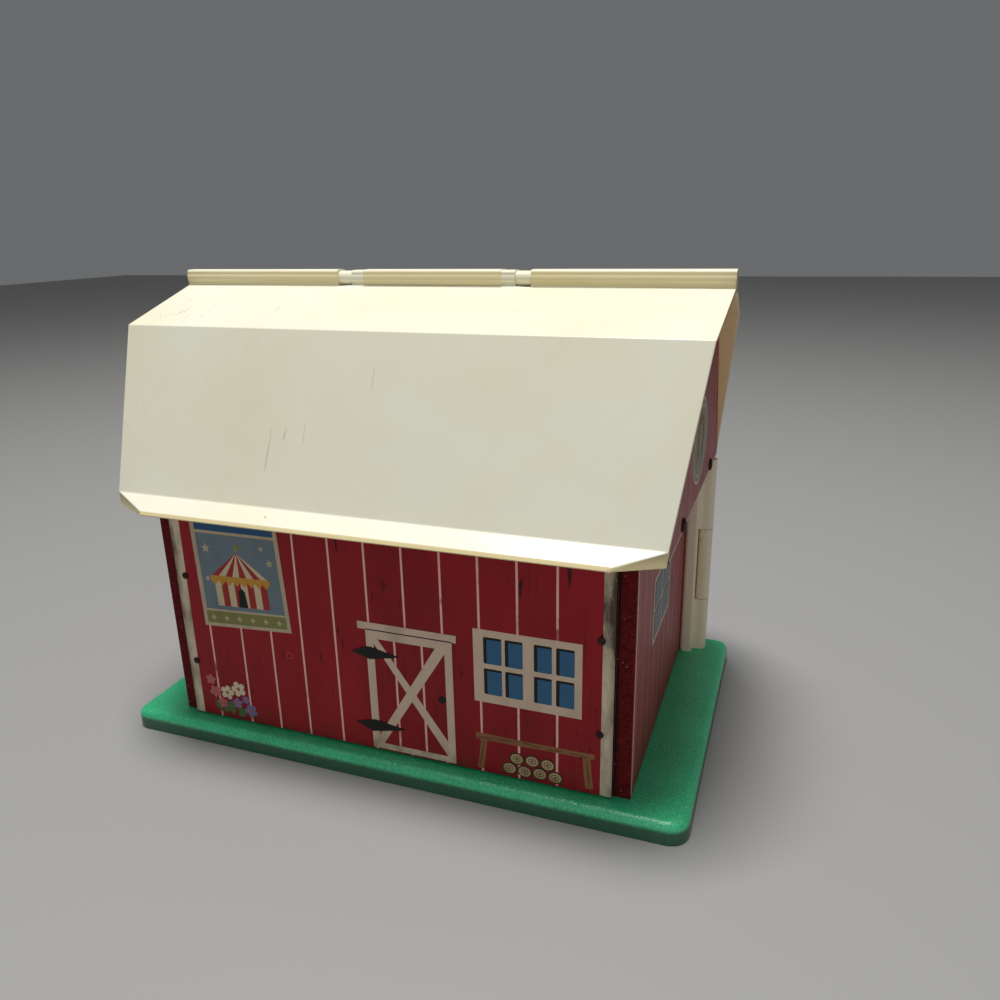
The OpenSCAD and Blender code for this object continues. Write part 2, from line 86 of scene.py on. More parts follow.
def length_prop(name, description, default):
    return bpy.props.FloatProperty(name=name, description=description, unit="LENGTH",
                                   min=0, default=default * MM)


class BarnPaints(bpy.types.PropertyGroup):
    """Colours of the plastic, the boards and the printing inks."""
    cream: colour_prop("Cream plastic", "Roof mouldings, posts and stiles", srgb(236, 234, 213))
    yellowed: colour_prop("Yellowed plastic", "Cream plastic where age has turned it",
                          srgb(226, 206, 146))
    # Warmer tan than the outer cream: painted warm glow of light through the plastic and of bounce
    # under the roof.
    inner_cream: colour_prop("Inner plastic", "Inside of the roof mouldings", srgb(250, 222, 168))
    green: colour_prop("Green plastic", "Pebble-grained base", srgb(50, 202, 138))
    barn_red: colour_prop("Barn red ink", "Printed planks", srgb(160, 24, 35))
    plank_line: colour_prop("Plank line", "Pale lines between the planks", srgb(250, 200, 186))
    white_ink: colour_prop("White ink", "Door frame and window frame", srgb(220, 196, 172))
    trim_ink: colour_prop("Trim ink", "Worn white strips at the ends of the long wall",
                          srgb(222, 205, 178))
    grime: colour_prop("Grime", "Dirt in worn places", srgb(74, 56, 38))
    edge_red: colour_prop("Edge paint", "Paint on the sawn edges of the boards", srgb(116, 16, 20))
    raw_board: colour_prop("Bare board", "Unpainted wood fibre", srgb(150, 112, 74))
    pane_blue: colour_prop("Pane blue", "Printed window panes", srgb(52, 104, 142))
    black_ink: colour_prop("Black ink", "Hinge straps and shadows", srgb(28, 24, 26))
    bench_brown: colour_prop("Bench brown", "Printed bench", srgb(150, 102, 66))


class BarnSizes(bpy.types.PropertyGroup):
    """Sizes of the finish."""
    roof_ease: length_prop("Roof edges", "Rounding of the roof mouldings' edges", 0.6)
    bar_drop: length_prop("Lower ridge bar", "How far the ridge bar's top is worn down", 0.75)
    crest_lift: length_prop("Raised crest", "How far the upper slopes rise at the ridge bar", 1.2)
    knee_lift: length_prop("Raised knee", "How far the far half's knee rises", 1.4)
    lip_drop: length_prop("Deeper lip", "How far the lip reaches down past the solid", 0.4)
    lip_slope: length_prop("Lip slope", "How far the lip's front edge turns down", 1.5)
    lip_round: length_prop("Lip rounding", "Radius of the lip's near edges", 1.1)
    lip_flare: length_prop("Lip flare", "How far the lip's lower edge stands out", 0.9)
    eave_lift: length_prop("Raised eave", "How far the crease above the lip rises", 1.0)
    board_ease: length_prop("Board edges", "Rounding of the boards' edges", 0.25)
    base_ease: length_prop("Base rim", "Rounding of the base's lower rim", 0.4)
    base_longer: length_prop("Longer base", "How far each end of the base stands out", 1.0)
    post_round: length_prop("Post edges", "Rounding of the corner posts' edges", 2.6)
    post_fill: length_prop("Fuller post", "How far the corner posts' near edge stands out", 1.5)
    ink_step: length_prop("Ink", "Thickness of one layer of print", 0.07)
    plank_pitch: length_prop("Plank pitch", "Distance between the printed plank lines", 21.67)
    plank_line: length_prop("Plank line", "Width of a printed plank line", 1.22)


class BarnStudio(bpy.types.PropertyGroup):
    """Light, floor and camera."""
    key_power: bpy.props.FloatProperty(name="Key light", description="Power of the overhead light",
                                       unit="POWER", min=0, default=47.5)
    fill_power: bpy.props.FloatProperty(name="Fill light", description="Power of the front light",
                                        unit="POWER", min=0, default=3.0)
    sky: bpy.props.FloatProperty(name="Surroundings", description="Strength of the even light",
                                 min=0, default=0.15)
    floor: colour_prop("Floor", "Plain floor under the barn", srgb(158, 157, 155))
    focal_px: bpy.props.FloatProperty(name="Focal length", min=1, default=829.6,
                                      description="In pixels of a frame that is 1000 pixels wide")


class Finish:
    """A material whose pattern follows the piece's own coordinates, in metres."""

    def __init__(self, name, roughness=0.5, **sockets):
        self.material = bpy.data.materials.new(name)
        self.material.use_nodes = True
        self.tree = self.material.node_tree
        self.shader = self.tree.nodes["Principled BSDF"]
        self.shader.inputs["Roughness"].default_value = roughness
        for socket, value in sockets.items():
            self.shader.inputs[socket.replace("_", " ")].default_value = value
        self.place = self.tree.nodes.new("ShaderNodeTexCoord").outputs["Object"]

    def node(self, kind, inputs, **settings):
        """Adds a node; each of its inputs gets a number, a colour or another node's socket."""
        made = self.tree.nodes.new("ShaderNode" + kind)
        for key, value in settings.items():
            setattr(made, key, value)
        for key, value in inputs.items():
            if isinstance(value, bpy.types.NodeSocket):
                self.tree.links.new(value, made.inputs[key])
            else:
                made.inputs[key].default_value = value
        return made

    def math(self, operation, a, b=0.0):
        return self.node("Math", {0: a, 1: b}, operation=operation).outputs[0]

    def times(self, a, b):
        return self.math("MULTIPLY", a, b)

    def plus(self, a, b):
        return self.math("ADD", a, b)

    def minus(self, a, b):
        return self.math("SUBTRACT", a, b)

    def gap(self, a, b):
        """Distance between two values, whichever is the larger."""
        return self.math("ABSOLUTE", self.minus(a, b))

    def axis(self, index):
        return self.node("SeparateXYZ", {0: self.place}).outputs[index]

    def stretched(self, stretch):
        return self.node("Mapping", {"Vector": self.place, "Scale": stretch}).outputs[0]

    def noise(self, scale, detail=3.0, stretch=(1, 1, 1), roughness=0.55):
        inputs = {"Vector": self.stretched(stretch), "Scale": scale, "Detail": detail,
                  "Roughness": roughness}
        return self.node("TexNoise", inputs).outputs[0]

    def cells(self, scale, stretch=(1, 1, 1), feature="F1"):
        inputs = {"Vector": self.stretched(stretch), "Scale": scale}
        return self.node("TexVoronoi", inputs, feature=feature)

    def between(self, value, low, high):
        """0 where value is at low or beyond, 1 where it is at high or beyond."""
        inputs = {0: value, 1: low, 2: high, 3: 0.0, 4: 1.0}
        return self.node("MapRange", inputs, clamp=True).outputs[0]

    def mix(self, mask, first, second):
        """The first colour where the mask is 0, the second where it is 1."""
        inputs = {0: mask, 6: self.opaque(first), 7: self.opaque(second)}
        return self.node("Mix", inputs, data_type="RGBA").outputs[2]

    def bump(self, height, distance, under=None):
        inputs = {"Height": height, "Distance": distance, "Strength": 1.0}
        if under is not None:
            inputs["Normal"] = under
        return self.node("Bump", inputs).outputs[0]

    def done(self, colour, roughness=None, normal=None):
        for socket, value in (("Base Color", colour), ("Roughness", roughness), ("Normal", normal)):
            if value is not None:
                self.tree.links.new(value, self.shader.inputs[socket])
        return self.material

    @staticmethod
    def opaque(colour):
        """A colour with its alpha; a node's socket stays as it is."""
        return colour if isinstance(colour, bpy.types.NodeSocket) else (*colour, 1.0)


# Long scratches on the front slope: place along the ridge, lowest and highest point, lean, depth.
SCRATCHES = ((-60.2, 176, 200, 0.04, 0.5), (-50.9, 191.5, 199.5, 0.22, 0.42),
             (-39.8, 190, 203, 0.0, 0.22), (-3.0, 219, 233, 0.02, 0.25))


def scratch(f, across, low, high, lean, depth):
    """Share of dark in a long scratch that wanders a little and fades out at both ends."""
    wander, fade, width, core = 1.2 * MM, 3, 0.42 * MM, 0.15 * MM
    front = -60 * MM
    slant = f.times(f.minus(f.axis(Z), high * MM), lean)
    off = f.gap(f.minus(f.axis(X), slant), across * MM)
    off = f.minus(off, f.times(f.minus(f.noise(60, 2), 0.5), wander))
    ends = f.times(f.between(f.axis(Z), low * MM, (low + fade) * MM),
                   f.between(f.axis(Z), high * MM, (high - fade) * MM))
    mark = f.times(f.between(off, width, core), ends)
    return f.times(f.times(mark, f.math("LESS_THAN", f.axis(Y), front)), depth)


def moulded_cream(name, base, paints, strength=1.0):
    """Glossy cream plastic with cloudy yellowing, hairline scratches and specks of dirt."""
    f = Finish(name, roughness=0.36, IOR=1.5)
    clouds = f.between(f.noise(9, 4), 0.42, 0.72)
    blots = f.between(f.noise(55, 4), 0.55, 0.8)
    tint = f.mix(f.times(clouds, 0.30 * strength), base, paints.yellowed)
    tint = f.mix(f.times(blots, 0.10 * strength), tint, paints.yellowed)
    wander = f.gap(f.noise(70, 1, (1, 0.25, 0.25)), 0.5)
    hairline = f.times(f.between(wander, 0.003, 0.001),
                       f.between(f.noise(11, 1, (1, 1, 1.2)), 0.63, 0.67))
    tint = f.mix(f.times(hairline, 0.25), tint, srgb(130, 126, 108))
    for mark in SCRATCHES:
        tint = f.mix(scratch(f, *mark), tint, srgb(128, 122, 100))
    specks = f.times(f.between(f.cells(85).outputs["Distance"], 0.075, 0.045),
                     f.between(f.noise(23, 1), 0.60, 0.63))
    tint = f.mix(f.times(specks, 0.5), tint, paints.grime)
    gloss = f.plus(0.30, f.times(f.noise(35, 4), 0.16))
    waves = f.bump(f.noise(14, 2), 0.6 * MM)
    return f.done(tint, gloss, f.bump(f.noise(900, 2), 0.01 * MM, waves))


def pebbled_green(paints):
    """Green pebble-grained plastic, with painted sparkle on its grain and painted shade low on its
    sides.
    """
    f = Finish("pebbled_green", roughness=0.3, IOR=1.5, Specular_IOR_Level=0.9)
    grain = f.cells(780, feature="SMOOTH_F1").outputs["Distance"]
    coarse = f.noise(1300, 3)
    height = f.plus(f.times(grain, 0.7), f.times(coarse, 0.5))
    tint = f.mix(f.between(f.noise(30, 4), 0.3, 0.75), paints.green, srgb(40, 180, 118))
    # Pale flecks on the grain's tops: painted sparkle of the grain's highlights.
    tint = f.mix(f.times(f.between(grain, 0.5, 0.12), 0.42), tint, srgb(116, 236, 184))
    # Darker below the rim: painted shade on the base's sides.
    side = f.between(f.plus(f.axis(Z), f.times(coarse, 1.2 * MM)), 9.6 * MM, 7.4 * MM)
    tint = f.mix(f.times(side, 0.84), tint, srgb(5, 42, 26))
    dust = f.times(f.between(f.cells(160).outputs["Distance"], 0.07, 0.03),
                   f.between(f.noise(19, 1), 0.56, 0.6))
    tint = f.mix(f.times(dust, 0.6), tint, srgb(190, 200, 190))
    return f.done(tint, f.plus(0.28, f.times(coarse, 0.1)), f.bump(height, 0.34 * MM))


# Places of the plank lines on the long wall, along the ridge, in millimetres.
FRONT_LINES = (-113.3, -91.0, -70.1, -49.4, -27.1, -5.1, 17.2, 39.1, 60.3, 81.5, 102.8)
LAST_LINE = 119 * MM


def printed_planks(name, paints, sizes, axis=X, places=(), origin=-5.1 * MM, pitch=None, worn=1.0,
                   gloss=0.22, ink_strength=0.94):
    """Red planks printed on board: pale lines, drawn grain and knots, and scuffs."""
    f = Finish(name, roughness=0.45, Specular_IOR_Level=gloss)

    def up_planks(stretch):
        """Stretch of a pattern that runs up the planks."""
        shares = [1, 1, stretch]
        shares[1 - axis] = 0.2
        return shares

    across = f.axis(axis)
    wobble = f.times(f.minus(f.noise(160, 3), 0.5), 0.3 * MM)
    if places:
        off = 1.0
        for place in places:
            off = f.math("MINIMUM", off, f.gap(across, place * MM))
        off = f.plus(off, wobble)
    else:
        half_pitch = (pitch or sizes.plank_pitch) / 2
        off = f.math("PINGPONG", f.plus(f.minus(across, origin), wobble), half_pitch)
    half, soft = sizes.plank_line / 2, 0.12 * MM
    line = f.times(f.between(off, half + soft, half - soft),
                   f.math("LESS_THAN", across, LAST_LINE))

    board_tone = f.noise(26, 3, (1, 1, 0.3))
    tint = f.mix(f.between(board_tone, 0.35, 0.7), paints.barn_red, srgb(134, 17, 26))
    streaks = f.times(f.between(f.noise(620, 3, up_planks(0.035)), 0.60, 0.72),
                      f.between(f.noise(24, 2), 0.47, 0.66))
    tint = f.mix(f.times(streaks, 0.75 * worn), tint, srgb(66, 12, 16))
    cracks = f.times(f.between(f.noise(330, 2, up_planks(0.12)), 0.665, 0.70),
                     f.between(f.noise(46, 2), 0.49, 0.55))
    tint = f.mix(f.times(cracks, 0.85), tint, srgb(44, 10, 14))
    knots = f.cells(34, (1, 1, 0.42))
    rare = f.math("GREATER_THAN", f.node("SeparateXYZ", {0: knots.outputs["Color"]}).outputs[0],
                  0.72)
    rings = f.times(f.between(f.gap(knots.outputs["Distance"], 0.16), 0.03, 0.012),
                    f.between(f.noise(240, 2), 0.42, 0.52))
    tint = f.mix(f.times(f.times(rings, rare), 0.8), tint, srgb(56, 12, 16))
    broken = f.between(f.noise(90, 4, (1, 1, 0.5)), 0.28, 0.40)
    tint = f.mix(f.times(line, f.times(broken, ink_strength)), tint, paints.plank_line)
    scuffs = f.times(f.between(f.noise(300, 5), 0.62, 0.75), f.between(f.noise(15, 2), 0.5, 0.7))
    tint = f.mix(f.times(scuffs, 0.22 * worn), tint, srgb(160, 62, 58))
    dirt = f.times(f.between(f.axis(Z), 30 * MM, 14 * MM), f.between(f.noise(120, 4), 0.42, 0.7))
    tint = f.mix(f.times(dirt, 0.55), tint, paints.grime)
    sheen = f.plus(0.36, f.times(f.noise(60, 4), 0.22))
    fibre = f.bump(f.noise(240, 3, (1, 1, 0.5)), 0.05 * MM)
    return f.done(tint, sheen, f.bump(f.noise(22, 1), 0.25 * MM, fibre))


def fibre_board(name, base, dark, fleck, roughness=0.8):
    """Sawn edge of pressed board: matted fibres with dark pits, pale flecks and painted shade by
    the long wall's panel.
    """
    f = Finish(name, roughness=roughness, Specular_IOR_Level=0.2)
    mat = f.noise(760, 4, roughness=0.65)
    tint = f.mix(f.between(mat, 0.40, 0.60), dark, base)
    out = f.math("ABSOLUTE", f.axis(X))
    # Painted shade: a dark band on the edges where the end boards meet the long wall's panel.
    joint_shade = f.times(f.between(out, 134.6 * MM, 133.4 * MM), f.between(out, 132.2 * MM, 132.4 * MM))
    tint = f.mix(f.times(joint_shade, 0.85), tint, srgb(26, 14, 12))
    chips = f.times(f.between(f.cells(330).outputs["Distance"], 0.26, 0.14),
                    f.between(f.noise(150, 3), 0.54, 0.60))
    tint = f.mix(f.times(chips, 0.7), tint, fleck)
    height = f.plus(mat, f.times(f.noise(1500, 2), 0.5))
    return f.done(tint, None, f.bump(height, 0.5 * MM))


def sawn_wood(name, base, along):
    """Bare softwood with its grain along one axis."""
    f = Finish(name, roughness=0.72)
    stretch = [1, 1, 1]
    stretch[along] = 0.06
    grain = f.noise(260, 4, stretch)
    bands = f.noise(70, 2, stretch)
    tint = f.mix(f.between(bands, 0.35, 0.65), base, darker(base, 0.62))
    tint = f.mix(f.times(f.between(grain, 0.55, 0.75), 0.5), tint, darker(base, 0.4))
    return f.done(tint, None, f.bump(grain, 0.12 * MM))


def ink(name, base, paints, grime=0.25, roughness=0.5):
    """Printing ink on board, a little uneven and dirty."""
    f = Finish(name, roughness=roughness, Specular_IOR_Level=0.25)
    dots = f.between(f.noise(520, 3), 0.45, 0.75)
    tint = f.mix(f.times(dots, 0.22), base, darker(base, 0.72))
    smears = f.times(f.between(f.noise(70, 5, (1, 1, 0.5)), 0.5, 0.75),
                     f.between(f.noise(16, 2), 0.35, 0.65))
    tint = f.mix(f.times(smears, grime), tint, paints.grime)
    dirt = f.times(f.between(f.axis(Z), 34 * MM, 15 * MM), f.between(f.noise(140, 4), 0.4, 0.7))
    tint = f.mix(f.times(dirt, 0.5), tint, paints.grime)
    gloss = f.plus(roughness - 0.1, f.times(f.noise(60, 4), 0.2))
    return f.done(tint, gloss, f.bump(f.noise(240, 3), 0.03 * MM))


def worn_trim(paints):
    """White strip at the end of the long wall, rubbed and dirty along its edges."""
    f = Finish("worn_trim", roughness=0.6)
    blot = f.noise(85, 5, (1, 1, 0.35), 0.65)
    edge = f.between(f.math("ABSOLUTE", f.axis(X)), 129.0 * MM, 132.5 * MM)
    stain = f.times(f.between(f.axis(Z), 80 * MM, 112 * MM),
                    f.math("GREATER_THAN", f.axis(X), 0))
    amount = f.plus(f.between(blot, 0.46, 0.68), f.times(edge, 0.7))
    amount = f.plus(amount, f.times(f.times(stain, f.between(blot, 0.3, 0.5)), 0.8))
    amount = f.node("Clamp", {0: f.times(amount, 0.66)}).outputs[0]
    tint = f.mix(amount, paints.trim_ink, paints.grime)
    rub = f.between(f.noise(330, 4, (1, 1, 0.2)), 0.6, 0.72)
    tint = f.mix(f.times(rub, 0.5), tint, srgb(112, 88, 60))
    return f.done(tint, None, f.bump(blot, 0.12 * MM))


def metal(name, base, roughness, rust=0.0):
    """Steel with a worn oxide skin, and rust where rust is over 0."""
    f = Finish(name, roughness=roughness, Metallic=0.85 if rust == 0 else 0.45)
    blot = f.noise(900, 4)
    tint = f.mix(f.between(blot, 0.4, 0.65), base, darker(base, 0.55))
    tint = f.mix(f.times(f.between(f.noise(420, 4), 0.5, 0.66), rust), tint, srgb(104, 58, 34))
    gloss = f.plus(roughness - 0.08, f.times(blot, 0.25))
    return f.done(tint, gloss, f.bump(blot, 0.04 * MM))


def studio_floor(tone):
    f = Finish("studio_floor", roughness=0.6)
    return f.done(f.mix(f.times(f.noise(3, 3), 0.06), tone, darker(tone, 0.9)))


def clear_selection():
    bpy.ops.object.select_all(action="DESELECT")


def take(piece):
    """Selects one object alone and makes it the active one."""
    clear_selection()
    piece.select_set(True)
    bpy.context.view_layer.objects.active = piece


def edit(piece):
    take(piece)
    bpy.ops.object.mode_set(mode="EDIT")
    bpy.ops.mesh.select_all(action="SELECT")


def leave_edit():
    bpy.ops.object.mode_set(mode="OBJECT")


def pick_edges(piece, test):
    """In edit mode, selects only the edges that pass a test."""
    bpy.ops.mesh.select_mode(type="EDGE")
    bpy.ops.mesh.select_all(action="DESELECT")
    mesh = bmesh.from_edit_mesh(piece.data)
    mesh.normal_update()
    for edge in mesh.edges:
        if test(edge):
            edge.select_set(True)
    bmesh.update_edit_mesh(piece.data)


def smooth(piece, angle=38, flat=None):
    """Shades a piece smooth over its gentle edges; faces that pass the flat test stay flat."""
    take(piece)
    bpy.ops.object.shade_smooth_by_angle(angle=math.radians(angle))
    for face in piece.data.polygons:
        if flat and flat(face.center):
            face.use_smooth = False
    bpy.ops.object.modifier_add(type="WEIGHTED_NORMAL")
    weighted = piece.modifiers[-1]
    weighted.keep_sharp = True
    bpy.ops.object.modifier_apply(modifier=weighted.name)


def pick_points(piece, test):
    """In edit mode, selects only the points that pass a test."""
    bpy.ops.mesh.select_mode(type="VERT")
    bpy.ops.mesh.select_all(action="DESELECT")
    mesh = bmesh.from_edit_mesh(piece.data)
    for vertex in mesh.verts:
        if test(vertex.co):
            vertex.select_set(True)
    mesh.select_flush_mode()
    bmesh.update_edit_mesh(piece.data)


def move_points(piece, test, shift):
    pick_points(piece, test)
    bpy.ops.transform.translate(value=shift)


def round_edges(radius, steps):
    """In edit mode, rounds the selected edges."""
    bpy.ops.mesh.bevel(offset=radius, offset_type="OFFSET", segments=steps, profile=0.5,
                       affect="EDGES", clamp_overlap=False)


# How far apart a solid's loose points are merged, how little its flat faces turn, and how near
# the ridge's plane an edge lies that splits one flat face in two.
MERGE, FLAT, ON_RIDGE = 0.004 * MM, math.radians(0.4), 0.3 * MM


def eased_copy(node, name, ease, longer=4.0, steps=3, angle=12, reshape=None, flat=None):
    """Copy of a solid, merged into whole faces, with its long edges rounded.

    It rounds the edges that are longer than so many millimetres and turn by more than an angle in
    degrees, and leaves those that only split a flat face at the ridge.
    """
    piece = bpy.data.objects.new(name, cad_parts[node].data.copy())
    bpy.context.scene.collection.objects.link(piece)
    piece.data.materials.clear()
    edit(piece)
    bpy.ops.mesh.remove_doubles(threshold=MERGE)
    bpy.ops.mesh.dissolve_limited(angle_limit=FLAT)
    if reshape:
        reshape(piece)
    turn = math.radians(angle)
    pick_edges(piece, lambda e: e.calc_length() > longer * MM and e.calc_face_angle(0) > turn
               and max(abs(v.co.y) for v in e.verts) > ON_RIDGE)
    round_edges(ease, steps)
    leave_edit()
    smooth(piece, flat=flat)
    return piece


def paint(piece, *coats):
    """Gives each face the last coat whose test it passes; a coat is a material and a test."""
    piece.data.materials.clear()
    for index, (material, test) in enumerate(coats):
        piece.data.materials.append(material)
        for face in piece.data.polygons:
            if test(face.center, face.normal):
                face.material_index = index


def everywhere(centre, normal):
    return True


def facing(axis, sign, least=0.7):
    """Test for faces that look along an axis, or against it where sign is -1."""
    return lambda centre, normal: sign * normal[axis] > least


def settle(piece, slot, body, *nodes):
    """Puts a finished piece on its body, in place of the solids that it stands for."""
    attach(piece, body)
    if nodes:
        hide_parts(*nodes)
    return piece


def coat_node(node, material):
    """Gives a solid that keeps its own shape a finish."""
    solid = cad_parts[node]
    solid.data.materials.clear()
    solid.data.materials.append(material)


def wall_plane(origin, across, out):
    """Matrix from distances across, up and out of a wall to the barn's own frame."""
    turn = Matrix((Vector(across), UP, Vector(out))).transposed().to_4x4()
    return Matrix.Translation(origin) @ turn


def outer_face(node, sign):
    """Place along the ridge of the face of an end piece that looks away from the barn."""
    low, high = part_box(node)
    return high.x if sign > 0 else low.x


def end_plane(node, sign):
    """Plane of the outer face of a board at one end."""
    return wall_plane(Vector((outer_face(node, sign), 0, 0)), (0, sign, 0), (sign, 0, 0))


def plate(name, outline, plane, layer=1, ring=0.0, corner=0.0):
    """Thin layer of print with the given corners, in millimetres across and up the wall.

    Its top is so many layers of ink off the wall. A ring is the width of the rim that is kept of
    it, and corner the radius of its corners.
    """
    thickness = layer * bpy.context.scene.barn_sizes.ink_step
    clear_selection()
    bpy.ops.mesh.primitive_circle_add(vertices=len(outline), radius=MM, fill_type="NGON")
    piece = bpy.context.active_object
    piece.name = name
    for vertex, (across, up) in zip(piece.data.vertices, outline):
        vertex.co = (across * MM, up * MM, 0)
    edit(piece)
    if corner:
        bpy.ops.mesh.bevel(offset=corner * MM, segments=4, affect="VERTICES")
        bpy.ops.mesh.select_all(action="SELECT")
    if ring:
        bpy.ops.mesh.normals_make_consistent(inside=False)
        bpy.ops.mesh.inset(thickness=ring * MM)
        bpy.ops.mesh.delete(type="FACE")
        bpy.ops.mesh.select_all(action="SELECT")
    bpy.ops.mesh.extrude_region_move(TRANSFORM_OT_translate={"value": (0, 0, thickness)})
    bpy.ops.mesh.select_all(action="SELECT")
    bpy.ops.mesh.normals_make_consistent(inside=False)
    leave_edit()
    piece.data.transform(plane)
    piece.data.update()
    return piece


def joined(name, pieces, material):
    """One piece of print made of several plates."""
    clear_selection()
    for piece in pieces:
        piece.select_set(True)
    bpy.context.view_layer.objects.active = pieces[0]
    if len(pieces) > 1:
        bpy.ops.object.join()
    whole = bpy.context.view_layer.objects.active
    whole.name = name
    paint(whole, (material, everywhere))
    return whole


def print_on(body, plane, name, outlines, material, layer, stagger=0.0, **shape):
    """Print of one ink on a wall: a plate for each outline, each a stagger above the last."""
    plates = [plate(name, outline, plane, layer + stagger * k, **shape)
              for k, outline in enumerate(outlines)]
    return settle(joined(name, plates, material), "printed_board", body)


def box_outline(left, low, right, high):
    return [(left, low), (right, low), (right, high), (left, high)]


def bar_outline(x1, z1, x2, z2, width):
    """Outline of a straight bar between two points."""
    along = Vector((x2 - x1, z2 - z1)).normalized()
    side = Vector((-along.y, along.x)) * width / 2
    return [(x1 - side.x, z1 - side.y), (x2 - side.x, z2 - side.y),
            (x2 + side.x, z2 + side.y), (x1 + side.x, z1 + side.y)]


def star_outline(x, z, radius, points=5, depth=0.42, turn=0.0):
    outline = []
    for k in range(2 * points):
        reach = radius if k % 2 == 0 else radius * depth
        angle = math.pi / 2 + turn + k * math.pi / points
        outline.append((x + reach * math.cos(angle), z + reach * math.sin(angle)))
    return outline


def round_outline(x, z, width, height, count=24, turn=0.0):
    outline = []
    for k in range(count):
        a, b = (width / 2 * math.cos(2 * math.pi * k / count),
                height / 2 * math.sin(2 * math.pi * k / count))
        outline.append((x + a * math.cos(turn) - b * math.sin(turn),
                        z + a * math.sin(turn) + b * math.cos(turn)))
    return outline


def flower_outline(x, z, radius, petals=5, turn=0.0, count=60):
    outline = []
    for k in range(count):
        angle = 2 * math.pi * k / count
        reach = radius * (0.42 + 0.58 * abs(math.cos(petals * (angle - turn) / 2)) ** 0.45)
        outline.append((x + reach * math.cos(angle), z + reach * math.sin(angle)))
    return outline


def leaf_outline(x, z, length, turn, count=7):
    outline = []
    for side in (1, -1):
        for k in range(count):
            s = k / count if side == 1 else 1 - k / count
            width = side * 0.24 * length * math.sin(math.pi * s) ** 0.8
            outline.append((x + length * s * math.cos(turn) - width * math.sin(turn),
                            z + length * s * math.sin(turn) + width * math.cos(turn)))
    return outline


def crossbuck(prefix, plane, left, low, right, high, stile, rails, brace, layer):
    """Frame of a plank door with a diagonal cross: two stiles, two rails and the braces."""
    top, bottom = rails
    x1, z1, x2, z2 = left + stile, low + bottom, right - stile, high - top
    reach = Vector((x2 - x1, z2 - z1)).normalized() * min(stile, bottom) * 0.9
    braces = ((x1 - reach.x, z1 - reach.y, x2 + reach.x, z2 + reach.y),
              (x1 - reach.x, z2 + reach.y, x2 + reach.x, z1 - reach.y))
    parts = [plate(prefix, bar_outline(*ends, brace), plane, layer + 0.3 * k)
             for k, ends in enumerate(braces)]
    for outline in (box_outline(left, low, x1, high), box_outline(x2, low, right, high),
                    box_outline(x1, z2, x2, high), box_outline(x1, low, x2, z1)):
        parts.append(plate(prefix, outline, plane, layer + 0.7))
    return parts


def turned(name, rings, sides=32):
    """Turned solid that stands on Z: each ring is a radius and a height, in millimetres."""
    clear_selection()
    first, low = rings[0]
    bpy.ops.mesh.primitive_circle_add(vertices=sides, radius=first * MM, fill_type="NGON",
                                      location=(0, 0, low * MM))
    piece = bpy.context.active_object
    piece.name = name
    bpy.ops.object.transform_apply(location=True, rotation=True, scale=True)
    edit(piece)
    for (radius, height), (before, below) in zip(rings[1:], rings):
        bpy.ops.mesh.extrude_region_move(
            TRANSFORM_OT_translate={"value": (0, 0, (height - below) * MM)})
        grow = radius / before
        bpy.ops.transform.resize(value=(grow, grow, 1), center_override=(0, 0, height * MM))
    bpy.ops.mesh.select_all(action="SELECT")
    bpy.ops.mesh.normals_make_consistent(inside=False)
    leave_edit()
    return piece


# Profile of a domed head, as shares of its radius and its height.
DOME = ((0.96, 0), (1, 0.12), (1, 0.30), (0.90, 0.58), (0.68, 0.82), (0.40, 0.95), (0.12, 1))


def round_head(name, radius, height, slot_width=0.0):
    """Domed head of a nail or a screw, with a slot cut in it where slot_width is over 0."""
    head = turned(name, [(radius * out, height * up) for out, up in DOME])
    if slot_width:
        clear_selection()
        bpy.ops.mesh.primitive_cube_add(size=1, location=(0, 0, height * MM))
        cutter = bpy.context.active_object
        cutter.scale = (3 * radius * MM, slot_width * MM, height * MM)
        bpy.ops.object.transform_apply(location=True, rotation=True, scale=True)
        take(head)
        bpy.ops.object.modifier_add(type="BOOLEAN")
        cut = head.modifiers[-1]
        cut.operation = "DIFFERENCE"
        cut.object = cutter
        bpy.ops.object.modifier_apply(modifier=cut.name)
        bpy.data.objects.remove(cutter)
    return head


def placed_copies(name, model, matrices, material):
    """One piece made of copies of a model, each turned and moved by a matrix."""
    copies = []
    for matrix in matrices:
        copy = bpy.data.objects.new(name, model.data.copy())
        bpy.context.scene.collection.objects.link(copy)
        copy.data.transform(matrix)
        copies.append(copy)
    bpy.data.objects.remove(model)
    whole = joined(name, copies, material)
    smooth(whole)
    return whole


PAINTS = {}

# Inks of the pictures: colour as it looks on a screen, and share of grime.
INKS = {
    "bench_grain": ((104, 66, 42), 0.25), "log_end": ((196, 170, 126), 0.3),
    "log_bark": ((70, 48, 36), 0.2), "poster_border": ((196, 180, 150), 0.25),
    "poster_sky": ((112, 130, 140), 0.25), "poster_band": ((44, 90, 136), 0.25),
    "poster_green": ((134, 136, 78), 0.25), "tent_red": ((164, 46, 44), 0.25),
    "tent_cream": ((214, 196, 160), 0.25), "tent_yellow": ((206, 150, 58), 0.25),
    "tent_green": ((122, 142, 70), 0.25), "scuff": ((186, 78, 72), 0.25),
    "pink_blossoms": ((196, 104, 112), 0.3), "cream_blossoms": ((226, 206, 178), 0.3),
    "lilac_blossoms": ((134, 116, 168), 0.3), "blossom_heart": ((170, 120, 56), 0.25),
    "leaf_green": ((84, 112, 62), 0.35), "end_pane": ((122, 132, 138), 0.2),
    "end_white": ((216, 198, 180), 0.3), "medallion_green": ((140, 142, 118), 0.35),
}


